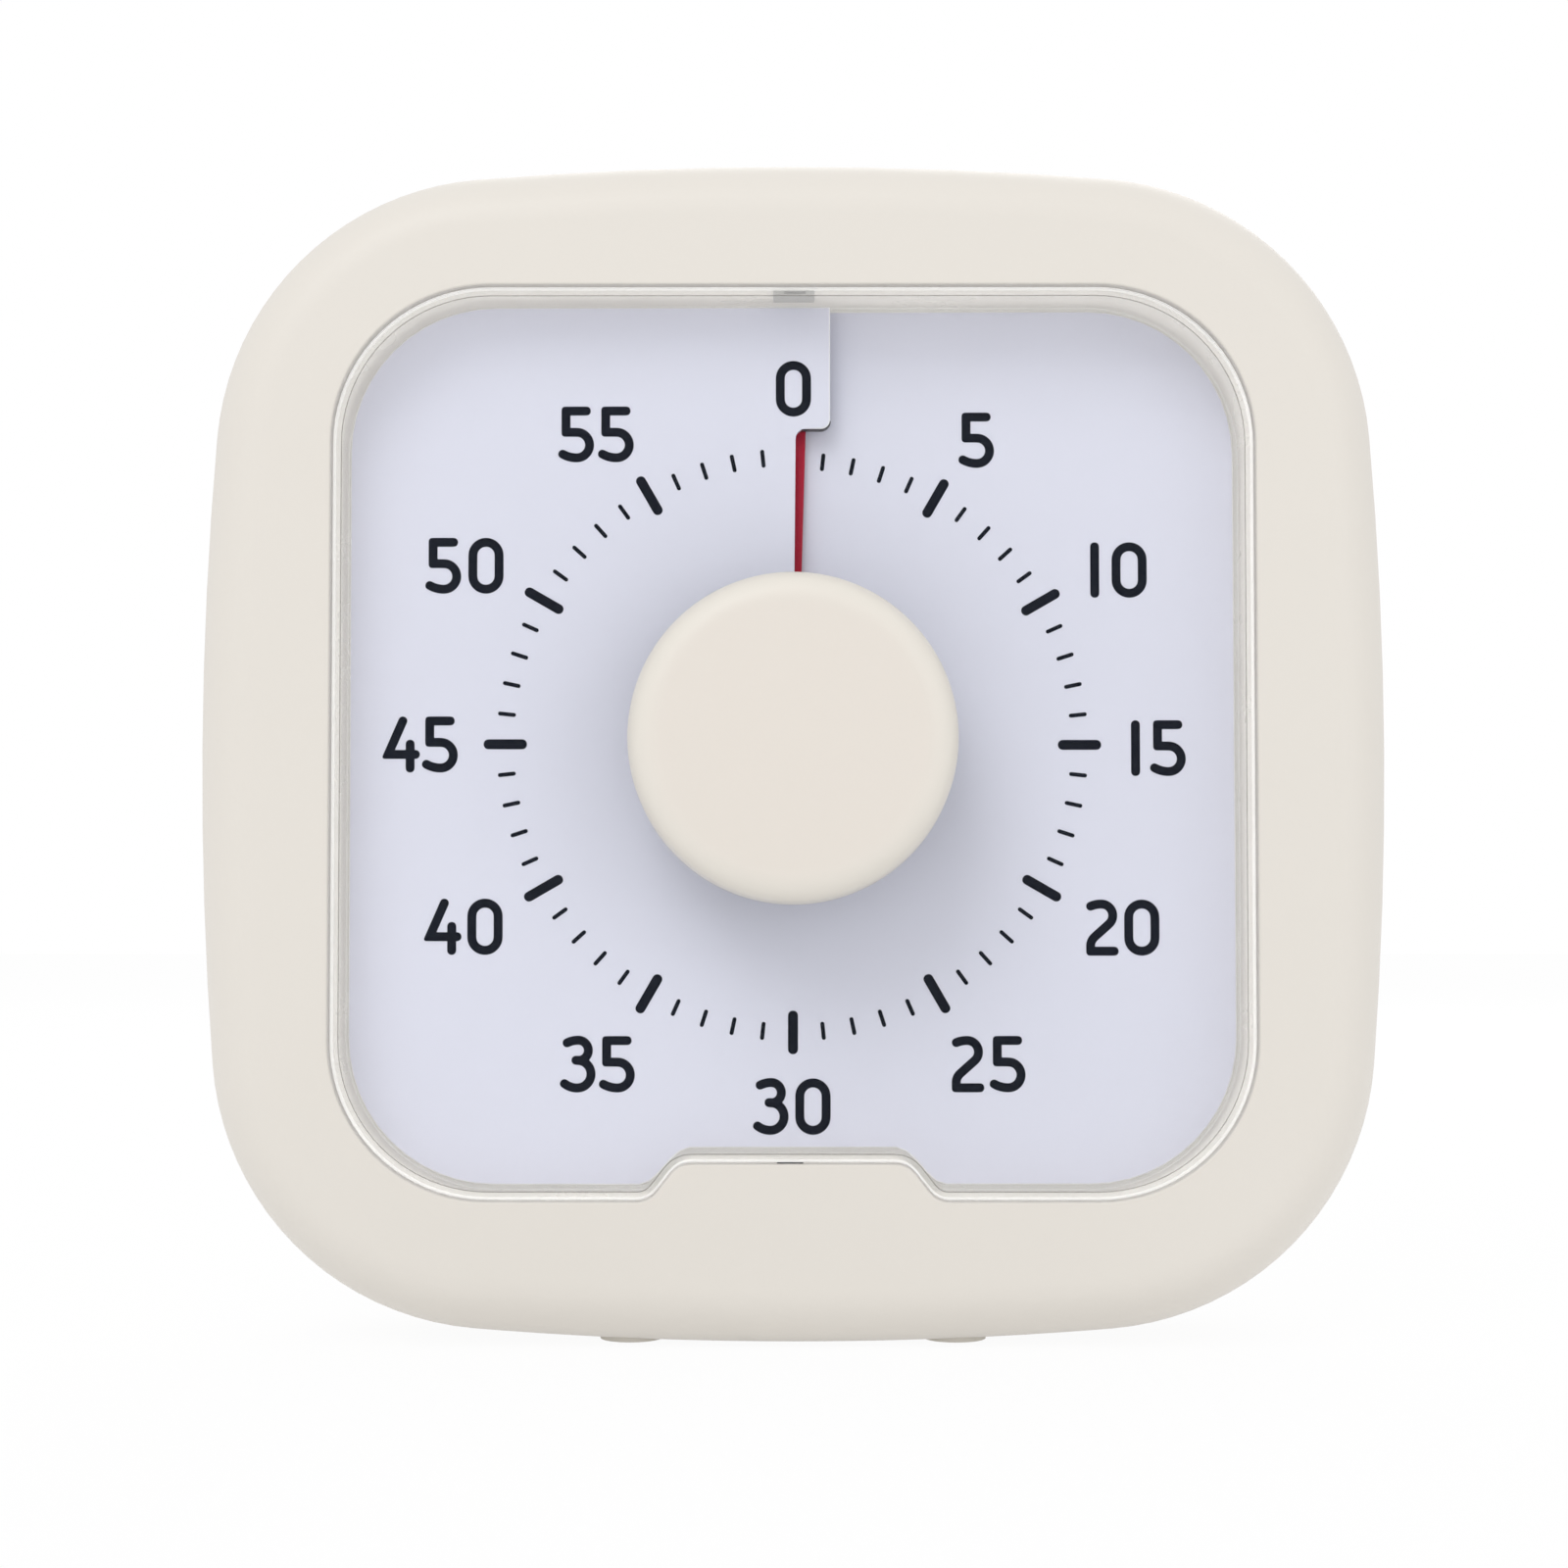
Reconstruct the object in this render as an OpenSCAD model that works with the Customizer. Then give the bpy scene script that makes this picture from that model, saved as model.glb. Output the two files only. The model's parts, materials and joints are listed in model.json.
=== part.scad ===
// Sixty minute visual timer: a red sheet climbs out of a slit in a spiral dial
// as the knob is turned, and a quartz movement winds it back under the dial.
// Every module is drawn on the face: x to the right, y up, z towards the reader,
// with zero on the dial's axis in the plane of the frame's front face.
// stand() then sets the timer upright on its feet.

/* [Case outline] */
// Width of the case over its bowed sides
case_w = 190; // [180:1:200]
// Height of the case over its bowed top and bottom
case_h = 189; // [180:1:200]
// Depth of the case from the front face to the back
case_d = 42; // [40:1:50]
// Radius of each bowed side
side_r = 630; // [500:10:900]
// Radius of each corner
corner_r = 46; // [42:1:52]
// Height of the dial's axis above the middle of the case
axis_up = 1; // [0:0.5:2]

/* [Case shells] */
// Depth of the front shell, down to the parting line
front_d = 23; // [22.5:0.5:25]
// Wall thickness of both shells
wall = 2.5; // [2:0.1:3]
// Width of the front edge's rounding, seen from the front
edge_w = 9; // [7:0.5:11]
// Depth of the front edge's rounding
edge_d = 12; // [9:0.5:14]
// Radius of the rear edge
rear_edge_r = 8; // [5:0.5:9]
// Depth of the groove along the parting line
groove = 0.35; // [0.2:0.05:0.5]
// Height of the rear shell's lip inside the front shell
lip_h = 2; // [1:0.5:3]
// Thickness of the rear shell's lip
lip_t = 1.3; // [1:0.1:1.6]
// Gap between pieces that are set together
seat_gap = 0.2; // [0.1:0.05:0.3]

/* [Window] */
// Width of the frame's face beside the window
border_side = 22; // [20:0.5:26]
// Width of the frame's face above the window
border_top = 21.25; // [19.25:0.25:25]
// Corner radius of the window
window_r = 25; // [20:1:28]
// Rounding of the window's rim
rim_r = 0.8; // [0.5:0.1:1.2]
// Thickness of the wall that runs back from the rim
window_wall = 2; // [1.6:0.1:2.2]
// Height of the bump in the window's lower edge
bump_h = 5.9; // [4:0.1:7]
// Width of the bump's flat top
bump_top = 32; // [24:1:36]
// Width of each sloping side of the bump
bump_side = 8; // [8:0.5:10]

/* [Clear cover] */
// Distance from the front face back to the cover
lens_recess = 1; // [0.6:0.1:2]
// Thickness of the cover's front
lens_t = 1.6; // [1.2:0.1:2]
// Thickness of the cover's side walls
lens_wall = 1; // [0.8:0.1:1.4]
// Gap between the cover and the window
lens_fit = 0.2; // [0.15:0.05:0.3]
// Width of the flange that holds the cover behind the window
flange_w = 2.2; // [1.8:0.1:2.5]
// Thickness of that flange
flange_t = 1.5; // [1.2:0.1:2]
// Radius of the hole for the knob's neck
neck_hole_r = 6.7; // [6.6:0.1:7.5]

/* [Dial and red sheet] */
// Distance from the front face back to the low end of the dial
dial_depth = 15; // [14:0.5:16]
// Thickness of the dial
dial_t = 1.2; // [1:0.1:1.4]
// Thickness of the red sheet
sheet_t = 0.4; // [0.3:0.05:0.5]
// Gap between the dial and the sheet above it
gap_over = 1; // [0.8:0.1:1.1]
// Gap between the dial and the sheet below it
gap_under = 1.4; // [1.2:0.1:1.5]
// Gap between the dial's edge and the cover
dial_fit = 0.25; // [0.2:0.05:0.4]
// Radius of the hole in the middle of the dial
dial_hole_r = 11; // [10.5:0.5:12]
// Angle by which the dial's high end passes the top
slit_deg = 0.5; // [0.3:0.1:1.2]
// Angle by which the dial's low end reaches under the high end
tuck_deg = 3; // [2:0.5:4]
// Width of the tab that carries the zero
tab_w = 6; // [5:0.5:7]
// Rounding of the tab's free corner
tab_corner_r = 1.5; // [1:0.1:2]
// Radius of the red sheet
sheet_r = 50.5; // [46:0.5:50.5]
// Gap between the red sheet and the tab
tab_gap = 0.5; // [0.4:0.1:1]
// Angle by which the sheet's leading edge shows at zero
lead_deg = 2.4; // [1.6:0.1:2.6]
// Angle by which the sheet falls short of a full turn
sheet_short_deg = 4; // [3:0.5:6]
// Height of the wall that stands the dial on its plate, below the low end
skirt_h = 4.3; // [4.2:0.1:5]

/* [Knob] */
// Radius of the knob
knob_r = 25.8; // [23:0.2:28]
// Height of the knob
knob_h = 13.6; // [12:0.2:15]
// Gap between the knob and the clear cover
knob_gap = 1.4; // [1:0.1:2]
// Rounding of the knob's front edge
knob_edge_r = 4.5; // [3:0.5:6]
// Wall thickness of the knob
knob_wall = 2; // [1.6:0.1:2.4]
// Outer radius of the knob's neck
neck_r = 6.2; // [5.6:0.1:6.3]
// Number of ribs inside the knob
knob_ribs = 6; // [4:1:8]

/* [Spindle] */
// Radius of the spindle
spindle_r = 3; // [2.6:0.1:3.2]
// Radial clearance of pieces that turn or slide
run_fit = 0.05; // [0.03:0.01:0.08]
// Outer radius of the hub that carries the red sheet
hub_r = 9; // [8.4:0.1:9.4]
// Width of the key that drives the hub
key_w = 1.2; // [1:0.1:1.4]
// Height of the key above the spindle
key_h = 0.9; // [0.7:0.1:1]

/* [Chassis] */
// Thickness of the plate behind the dial
chassis_t = 2; // [1.6:0.1:2.2]
// How far the chassis posts stand outside the window, sideways
post_out = 9; // [8.5:0.5:9.5]
// Distance of the chassis posts from the axis, up and down
post_y = 40; // [30:1:46]
// Radius of the chassis posts
post_r = 3.4; // [3:0.1:3.5]

/* [Screws] */
// Radius of the shank of the case and chassis screws
screw_r = 1.25; // [1:0.05:1.4]
// Radius of their heads
screw_head_r = 2.7; // [2.4:0.1:2.8]
// Thickness of their heads
screw_head_t = 1.6; // [1.2:0.1:2]
// Length of the shanks
screw_l = 9; // [7:0.5:11]
// Radius of the holes that the shanks pass through
screw_hole_r = 1.7; // [1.55:0.05:1.8]
// Radius of the bosses that the case screws bite
boss_r = 3.8; // [3.2:0.1:4]
// Distance of the case screws from the corner of the outline
screw_inset = 12.2; // [12:0.1:13]
// Radius of the screw wells in the back
well_r = 3.3; // [3.1:0.1:3.5]
// Wall thickness of the screw wells
well_wall = 1.6; // [1.2:0.1:1.8]

/* [Movement] */
// Width and height of the movement's case
mv_w = 56; // [56:1:58]
// Depth of the movement's case
mv_d = 15.4; // [15:0.1:15.6]
// Corner radius of the movement's case
mv_r = 3; // [2:0.5:5]
// Wall thickness of the movement's case
mv_wall = 1.3; // [1.2:0.1:1.5]
// Depth of the movement's front half
mv_front_d = 5; // [4.5:0.1:5.4]
// Outer radius of the threaded bush that clamps the movement
bush_r = 4.6; // [4.4:0.1:5]
// Width across the flats of the nut on that bush
nut_w = 13; // [12:0.5:15]
// Thickness of that nut
nut_t = 1.6; // [1.4:0.1:1.7]
// Radius of the gear arbors
arbor_r = 0.8; // [0.6:0.05:0.9]
// Radius of the pivots at the ends of the arbors
pivot_r = 0.45; // [0.4:0.05:0.5]

/* [Battery] */
// Radius of the cell
cell_r = 7.15; // [7:0.05:7.25]
// Length of the cell with its button
cell_l = 50.5; // [50:0.1:50.5]
// Distance of the battery bay's middle below the axis
bay_down = 55; // [54:0.5:57]
// Inner length of the battery bay
bay_l = 60; // [59:0.5:62]
// Inner height of the battery bay
bay_h = 21; // [20:0.5:22]
// Wall thickness of the battery bay
bay_wall = 1.4; // [1.2:0.1:1.6]
// Thickness of the battery door
door_t = 1.8; // [1.6:0.1:2]
// Gap round the battery door
door_fit = 0.35; // [0.3:0.05:0.5]

/* [Board, buzzer and switch] */
// Width of the circuit board
board_w = 34; // [32:1:35]
// Height of the circuit board
board_h = 44; // [40:1:48]
// Thickness of the circuit board
board_t = 1.6; // [1.2:0.1:1.8]
// Distance of the board's middle to the left of the axis
board_left = 55; // [54:1:58]
// Radius of the buzzer
buzzer_r = 13; // [11:0.5:14]
// Thickness of the buzzer
buzzer_t = 4.5; // [4:0.5:6]
// Distance of the buzzer to the right of the axis
buzzer_right = 56; // [52:1:60]
// Half of the volume switch's travel
switch_travel = 2.5; // [2:0.1:3]
// Width of the volume switch's button
button_w = 5; // [4:0.2:6]

/* [Feet and hanger] */
// Radius of the rubber feet
foot_r = 5; // [4:0.5:5.5]
// Distance of the feet from the middle, sideways
foot_x = 26; // [20:1:34]
// Depth of the pockets that hold the feet
foot_pocket = 1; // [0.6:0.1:1.2]
// Radius of the keyhole's round end
keyhole_r = 4.5; // [4:0.1:5]
// Half width of the keyhole's slot
keyhole_slot = 2.2; // [1.8:0.1:2.4]
// Distance of the keyhole above the axis
keyhole_up = 62; // [58:1:66]

/* [Hidden] */
$fn = 64;

cream = [0.91, 0.89, 0.85];
dial_white = [0.87, 0.88, 0.92];
crimson = [0.69, 0.13, 0.22];
steel = [0.72, 0.73, 0.75];
brass = [0.80, 0.66, 0.36];
copper = [0.72, 0.42, 0.26];
nylon = [0.93, 0.93, 0.90];
black = [0.12, 0.12, 0.13];
board_green = [0.10, 0.38, 0.24];

eps = 0.01;
knob_front = knob_gap - lens_recess + knob_h;
face_y = (knob_front - case_d) / 2;
axis_z = case_h / 2 + axis_up;
window_w = case_w - 2 * border_side;
window_h = case_h - 2 * (axis_up + border_top);
post_x = window_w / 2 + post_out;

// The outline is made of stations that run clockwise from the middle of the top.
// A station is [stretch, t]: even stretches are sides, odd ones are corners.
side_steps = 4;
corner_steps = 12;
bump_steps = 5;
bump_base = bump_top + 2 * bump_side;
bump_mark = 0.35;
base_mark = 0.55;

function span(n) = [for (i = [0:n - 1]) i / n];
function bottom_marks() = concat([-1, -(1 + base_mark) / 2],
    [for (i = [0:bump_steps]) -base_mark + (base_mark - bump_mark) * i / bump_steps], [0],
    [for (i = [0:bump_steps]) bump_mark + (base_mark - bump_mark) * i / bump_steps],
    [(1 + base_mark) / 2]);
stations = concat(
    [for (t = span(side_steps)) [0, t]],
    [for (t = span(corner_steps)) [1, t]],
    [for (t = span(2 * side_steps)) [2, 2 * t - 1]],
    [for (t = span(corner_steps)) [3, t]],
    [for (t = bottom_marks()) [4, t]],
    [for (t = span(corner_steps)) [5, t]],
    [for (t = span(2 * side_steps)) [6, 2 * t - 1]],
    [for (t = span(corner_steps)) [7, t]],
    [for (t = span(side_steps)) [0, t - 1]]);

function bearing(angle) = [sin(angle), cos(angle)];
function corner_sign(stretch) = [stretch < 4 ? 1 : -1, stretch == 1 || stretch == 7 ? 1 : -1];

// The case: four bowed sides joined by four corner arcs that are tangent to them.
top_centre = case_h / 2 - side_r;
right_centre = case_w / 2 - side_r;
half_chord = norm([right_centre, top_centre]) / 2;
reach = sqrt(pow(side_r - corner_r, 2) - pow(half_chord, 2)) / (2 * half_chord);
corner_c = [right_centre / 2 - top_centre * reach, top_centre / 2 - right_centre * reach];
top_sweep = atan2(corner_c.x, corner_c.y - top_centre);
right_sweep = atan2(corner_c.y, corner_c.x - right_centre);

function case_side(stretch, t, inset) =
    let (turn = 45 * stretch)
    let (level = stretch % 4 == 0)
    let (angle = turn + t * (level ? top_sweep : right_sweep))
    let (centre = (level ? top_centre : right_centre) * bearing(turn))
    centre + (side_r - inset) * bearing(angle);
function case_corner(stretch, t, inset) =
    let (turn = 45 * (stretch - 1))
    let (from = stretch % 4 == 1 ? top_sweep : right_sweep)
    let (to = stretch % 4 == 1 ? right_sweep : top_sweep)
    let (angle = turn + from + t * (90 - from - to))
    let (s = corner_sign(stretch))
    [s.x * corner_c.x, s.y * corner_c.y] + (corner_r - inset) * bearing(angle);
function case_at(s, inset) = [0, -axis_up]
    + (s[0] % 2 == 0 ? case_side(s[0], s[1], inset) : case_corner(s[0], s[1], inset));
function case_ring(inset, z) = [for (s = stations) [each case_at(s, inset), z]];

// The window: a rounded square with a bump in its lower edge, grown outwards by grow.
bump_slant = 0.414;
function bump_rise(x, grow) =
    let (into = (bump_base / 2 - bump_slant * grow - abs(x)) / bump_side)
    bump_h * (1 - cos(180 * max(0, min(1, into)))) / 2;
function bump_x(t, grow) =
    let (top = bump_top / 2 - bump_slant * grow)
    let (flat = window_w / 2 - window_r)
    let (a = abs(t))
    sign(t) * (a < bump_mark ? top * a / bump_mark
        : a < base_mark ? top + bump_side * (a - bump_mark) / (base_mark - bump_mark)
        : top + bump_side + (flat - top - bump_side) * (a - base_mark) / (1 - base_mark));
function window_side(stretch, t, grow) =
    let (flat_x = window_w / 2 - window_r)
    let (flat_y = window_h / 2 - window_r)
    stretch == 0 ? [t * flat_x, window_h / 2 + grow]
    : stretch == 2 ? [window_w / 2 + grow, -t * flat_y]
    : stretch == 6 ? [-window_w / 2 - grow, t * flat_y]
    : let (x = -bump_x(t, grow)) [x, -window_h / 2 - grow + bump_rise(x, grow)];
function window_corner(stretch, t, grow) =
    let (s = corner_sign(stretch))
    [s.x * (window_w / 2 - window_r), s.y * (window_h / 2 - window_r)]
    + (window_r + grow) * bearing(45 * (stretch - 1) + 90 * t);
function window_at(s, grow) = s[0] % 2 == 0
    ? window_side(s[0], s[1], grow) : window_corner(s[0], s[1], grow);
function window_ring(grow, z) = [for (s = stations) [each window_at(s, grow), z]];

// A surface through rings of equal length. Each end is closed by triangles that meet
// in its middle, and a loop has no ends.
function middle(ring) = [for (k = [0:2]) sum([for (p = ring) p[k]]) / len(ring)];
function sum(list, i = 0) = i < len(list) ? list[i] + sum(list, i + 1) : 0;
module skin(rings, loop = false) {
    m = len(rings[0]);
    n = len(rings);
    walls = [for (j = [0:n - (loop ? 1 : 2)]) for (i = [0:m - 1])
        let (a = j * m + i)
        let (b = j * m + (i + 1) % m)
        let (c = (j + 1) % n * m + (i + 1) % m)
        let (d = (j + 1) % n * m + i)
        each [[a, b, c], [a, c, d]]];
    ends = loop ? [] : [for (i = [0:m - 1]) each [[(i + 1) % m, i, n * m],
        [(n - 1) * m + i, (n - 1) * m + (i + 1) % m, n * m + 1]]];
    points = concat([for (r = rings) each r], loop ? [] : [middle(rings[0]), middle(rings[n - 1])]);
    polyhedron(points, concat(walls, ends), convexity = 8);
}

module stand() {
    translate([0, face_y, axis_z]) rotate([90, 0, 0]) children();
}

// A round bar from z = low to z = high.
module bar(r, low, high) {
    translate([0, 0, low]) cylinder(r = r, h = high - low);
}

// A rounded block with its middle at x, y and its depth from low to high.
module block(w, h, r, low, high) {
    translate([-w / 2, -h / 2 + r, low]) cube([w, h - 2 * r, high - low]);
    translate([-w / 2 + r, -h / 2, low]) cube([w - 2 * r, h, high - low]);
    for (x = [-1, 1], y = [-1, 1])
        translate([x * (w / 2 - r), y * (h / 2 - r), 0]) bar(r, low, high);
}

module slab(w, h, low, high) {
    translate([-w / 2, -h / 2, low]) cube([w, h, high - low]);
}

boss_at = corner_c + (corner_r - screw_inset) * bearing(45);
module at_bosses() {
    for (x = [-1, 1], y = [-1, 1]) translate([x * boss_at.x, y * boss_at.y - axis_up, 0]) children();
}
module at_posts() {
    for (x = [-1, 1], y = [-1, 1]) translate([x * post_x, y * post_y, 0]) children();
}

// Levels from front to back, all negative and measured from the front face.
lens_front = -lens_recess;
lens_back = lens_front - lens_t;
dial_low = -dial_depth;
pitch = gap_over + sheet_t + dial_t + gap_under;
dial_high = dial_low + pitch * (1 + slit_deg / 360);
chassis_front = dial_low - dial_t - skirt_h;
chassis_back = chassis_front - chassis_t;
flange_back = chassis_front + seat_gap;
flange_front = flange_back + flange_t;
window_wall_end = flange_front + seat_gap;
inner_face = -wall;
mv_front = chassis_back;
mv_split = mv_front - mv_front_d;
mv_back = mv_front - mv_d;
boss_end = -front_d - 1;
back = -case_d;
back_inner = back + wall;

// A rounded edge as [inset, z] pairs from the side wall to the flat face at face_z;
// the wall lies rise above that face, or below it where rise is negative.
function edge_arc(w, rise, side_in, face_z, n) =
    [for (i = [0:n]) let (a = 90 * i / n)
        [side_in + w * (1 - cos(a)), face_z + rise * (1 - sin(a))]];

module foot_places() {
    for (x = [-1, 1], z = [foot_front, foot_rear])
        translate([x * foot_x, 0, z]) rotate([90, 0, 0]) children();
}
foot_front = -(edge_d + foot_r / 2);
foot_rear = -(case_d - rear_edge_r - foot_r);
bottom_y = -case_h / 2 - axis_up;
foot_sag = side_r - sqrt(side_r * side_r - foot_x * foot_x);
foot_seat = bottom_y + foot_sag + foot_pocket;
module foot_cuts() {
    foot_places() bar(foot_r + seat_gap, -foot_seat, -bottom_y + wall);
}

module front_frame() color(cream) stand() {
    edge_steps = 7;
    inner_steps = 4;
    rim_steps = 3;
    difference() {
        union() {
            skin(concat(
                [case_ring(groove, -front_d), case_ring(0, -front_d + groove)],
                [for (p = edge_arc(edge_w, -edge_d, 0, 0, edge_steps)) case_ring(p[0], p[1])],
                [for (i = [0:rim_steps]) let (a = 90 * i / rim_steps)
                    window_ring(rim_r * (1 - sin(a)), -rim_r * (1 - cos(a)))],
                [window_ring(0, window_wall_end), window_ring(window_wall, window_wall_end),
                    window_ring(window_wall, inner_face)],
                [for (i = [inner_steps:-1:0]) let (p = edge_arc(edge_w, wall - edge_d, wall,
                    inner_face, inner_steps)[i]) case_ring(p[0], p[1])],
                [case_ring(wall, -front_d)]), loop = true);
            at_bosses() bar(boss_r, boss_end, inner_face + eps);
            at_posts() bar(post_r, chassis_front, inner_face + eps);
        }
        at_bosses() bar(screw_r + run_fit, boss_end - eps, boss_end + screw_l);
        at_posts() bar(screw_r + run_fit, chassis_front - eps,
            chassis_front + screw_l - chassis_t + seat_gap);
        foot_cuts();
    }
}

well_floor = boss_end - seat_gap;
well_seat = well_floor - wall;
bay_front = back + door_t + seat_gap + 2 * cell_r + 2 * seat_gap;
door_w = bay_l - 2 * door_fit;
door_h = bay_h - 2 * door_fit;
tongue_x = 18;
tongue_w = 6;
tongue_h = 2;
tongue_t = 1;
tongue_back = back + wall + 0.5;
scoop_r = 12;
scoop_d = 1.1;
buzzer_shelf = 1;
slot_w = button_w + 2 * switch_travel + 2 * door_fit;
slot_h = 4;
board_lift = 5.5;
board_face = back_inner + board_lift;
board_post_r = 2.6;
board_post_in = 4;
board_post_x = board_w / 2 - board_post_in;
board_post_y = board_h / 2 - board_post_in;
board_screw_r = 1;
board_screw_l = 5;

module at_board() {
    translate([-board_left, 0, 0]) children();
}
module at_buzzer() {
    translate([buzzer_right, 0, 0]) children();
}
module at_board_posts() {
    at_board() for (s = [-1, 1]) translate([s * board_post_x, s * board_post_y, 0]) children();
}

module rear_case() color(cream) stand() {
    edge_steps = 5;
    lip_in = wall + seat_gap;
    lip_root = -front_d - 2 * lip_h;
    grille_slots = 5;
    grille_w = 1.6;
    grille_h = 15;
    grille_step = 3.6;
    ledge = 1.2;
    ledge_t = 1;
    ring_t = 1.2;
    ring_h = 3;
    shelf_w = 1.5;
    pocket_w = 24;
    pocket_h = 34;
    pocket_r = 3;
    pocket_d = 6;
    pocket_t = 1.5;
    slot_up = 5;
    tongue_room = 0.2;
    tongue_low = back + wall - 0.1;
    tongue_high = tongue_back + tongue_t + 1.5;
    difference() {
        union() {
            skin(concat(
                [for (i = [edge_steps:-1:0]) let (p = edge_arc(rear_edge_r, rear_edge_r, 0,
                    back, edge_steps)[i]) case_ring(p[0], p[1])],
                [case_ring(0, -front_d - groove), case_ring(groove, -front_d),
                    case_ring(lip_in, -front_d), case_ring(lip_in, -front_d + lip_h),
                    case_ring(lip_in + lip_t, -front_d + lip_h),
                    case_ring(lip_in + lip_t, lip_root), case_ring(wall, lip_root - lip_t)],
                [for (p = edge_arc(rear_edge_r, rear_edge_r - wall / 2, wall,
                    back_inner, edge_steps)) case_ring(p[0], p[1])]));
            at_bosses() bar(well_r + well_wall, back + eps, well_floor);
            translate([0, -bay_down, 0])
                slab(bay_l + 2 * bay_wall, bay_h + 2 * bay_wall, back + eps, bay_front + bay_wall);
            at_board_posts() bar(board_post_r, back_inner - eps, board_face);
            at_buzzer() difference() {
                bar(buzzer_r + seat_gap + ring_t, back_inner - eps, back_inner + ring_h);
                bar(buzzer_r + seat_gap, back_inner + buzzer_shelf, back_inner + ring_h + eps);
                bar(buzzer_r - shelf_w, back_inner - eps, back_inner + buzzer_shelf + eps);
            }
            translate([0, keyhole_up, 0]) difference() {
                block(pocket_w, pocket_h, pocket_r, back_inner - eps, back_inner + pocket_d);
                block(pocket_w - 2 * pocket_t, pocket_h - 2 * pocket_t, pocket_r - pocket_t,
                    back_inner - 2 * eps, back_inner + pocket_d - pocket_t);
            }
        }
        at_bosses() {
            bar(screw_hole_r, back, well_floor + eps);
            bar(well_r, back - eps, well_seat);
        }
        translate([0, -bay_down, 0]) {
            slab(bay_l, bay_h, back - eps, bay_front);
            for (x = [-1, 1]) translate([x * tongue_x, bay_h / 2, 0])
                slab(tongue_w + 2 * door_fit, 2 * (tongue_h + door_fit + tongue_room),
                    tongue_low, tongue_high);
            translate([0, -bay_h / 2, back - scoop_r + scoop_d]) sphere(r = scoop_r);
        }
        at_board() block(slot_w, slot_h + 2 * door_fit, 1, back - eps, back_inner + eps);
        at_buzzer() for (i = [0:grille_slots - 1])
            translate([(i - (grille_slots - 1) / 2) * grille_step, 0, 0])
                block(grille_w, grille_h, grille_w / 2 - eps, back - eps, back_inner + eps);
        at_board_posts() bar(board_screw_r + run_fit, board_face + board_t - board_screw_l - seat_gap,
            board_face + eps);
        translate([0, keyhole_up, 0]) {
            bar(keyhole_r, back - eps, back_inner + eps);
            translate([-keyhole_slot, 0, back - eps])
                cube([2 * keyhole_slot, keyhole_r + slot_up, wall + 2 * eps]);
            translate([0, keyhole_r + slot_up, 0]) bar(keyhole_slot, back - eps, back_inner + eps);
        }
        foot_cuts();
    }
    // Stops that the closed door rests on
    for (x = [-1, 1]) translate([x * (bay_l / 2 - ledge / 2), -bay_down, 0])
        slab(ledge + eps, bay_h + eps, back + door_t + seat_gap, back + door_t + seat_gap + ledge_t);
}

module clear_cover() color([0.9, 0.95, 1, 0.35]) stand() {
    edge = 0.5;
    inner = -lens_fit - lens_wall;
    difference() {
        skin([window_ring(inner - edge, lens_back), window_ring(inner, lens_back - edge),
            window_ring(inner, flange_back), window_ring(flange_w, flange_back),
            window_ring(flange_w, flange_front), window_ring(-lens_fit, flange_front),
            window_ring(-lens_fit, lens_front - edge), window_ring(-lens_fit - edge, lens_front)]);
        bar(neck_hole_r, lens_back - eps, lens_front + eps);
    }
}

dial_grow = -lens_fit - lens_wall - dial_fit;
function clockwise(p) = (atan2(p.x, p.y) + 360) % 360;
function ramp(turn) = dial_low + pitch * turn / 360;
function dial_section(p, turn) =
    let (out = [p.x, p.y] / norm([p.x, p.y]))
    let (z = ramp(turn))
    [[each dial_hole_r * out, z], [p.x, p.y, z],
        [p.x, p.y, z - dial_t], [each dial_hole_r * out, z - dial_t]];
function dial_edge_at(turn) = [tan(turn), 1] * (window_h / 2 + dial_grow);

module dial() color(dial_white) stand() {
    skirt_in = 0.3;
    skirt_t = 1.4;
    edge = [for (s = stations) window_at(s, dial_grow)];
    rest = [for (i = [1:len(edge) - 1]) edge[i]];
    skirt_top = [for (p = edge) ramp(clockwise(p)) - dial_t / 2];
    tab_low = sheet_r + tab_gap;
    tab_top = window_h / 2 + dial_grow;
    tab_root = 2;
    slit_x = tab_low * tan(slit_deg);
    skin(concat([dial_section(dial_edge_at(-tuck_deg), -tuck_deg), dial_section(edge[0], 0)],
        [for (p = rest) dial_section(p, clockwise(p))],
        [dial_section(edge[0], 360), dial_section(dial_edge_at(slit_deg), 360 + slit_deg)]));
    // The wall round the edge that stands the dial on its plate
    skin([
        [for (i = [0:len(edge) - 1]) let (p = window_at(stations[i], dial_grow - skirt_in - skirt_t))
            [p.x, p.y, skirt_top[i]]],
        [for (s = stations) [each window_at(s, dial_grow - skirt_in - skirt_t), chassis_front]],
        [for (s = stations) [each window_at(s, dial_grow - skirt_in), chassis_front]],
        [for (i = [0:len(edge) - 1]) let (p = window_at(stations[i], dial_grow - skirt_in))
            [p.x, p.y, skirt_top[i]]]], loop = true);
    // The tab that carries the zero, over the low end of the dial
    translate([0, 0, dial_high - dial_t]) linear_extrude(dial_t) difference() {
        union() {
            translate([-tab_root, tab_low])
                square([tab_root + tab_w - tab_corner_r, tab_top - tab_low]);
            translate([-tab_root, tab_low + tab_corner_r])
                square([tab_root + tab_w, tab_top - tab_low - tab_corner_r]);
            translate([tab_w - tab_corner_r, tab_low + tab_corner_r]) circle(r = tab_corner_r);
            translate([-tab_root, tab_low - tab_corner_r])
                square([tab_root + slit_x + tab_corner_r, tab_corner_r + eps]);
        }
        translate([slit_x + tab_corner_r, tab_low - tab_corner_r]) circle(r = tab_corner_r);
    }
}

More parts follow.
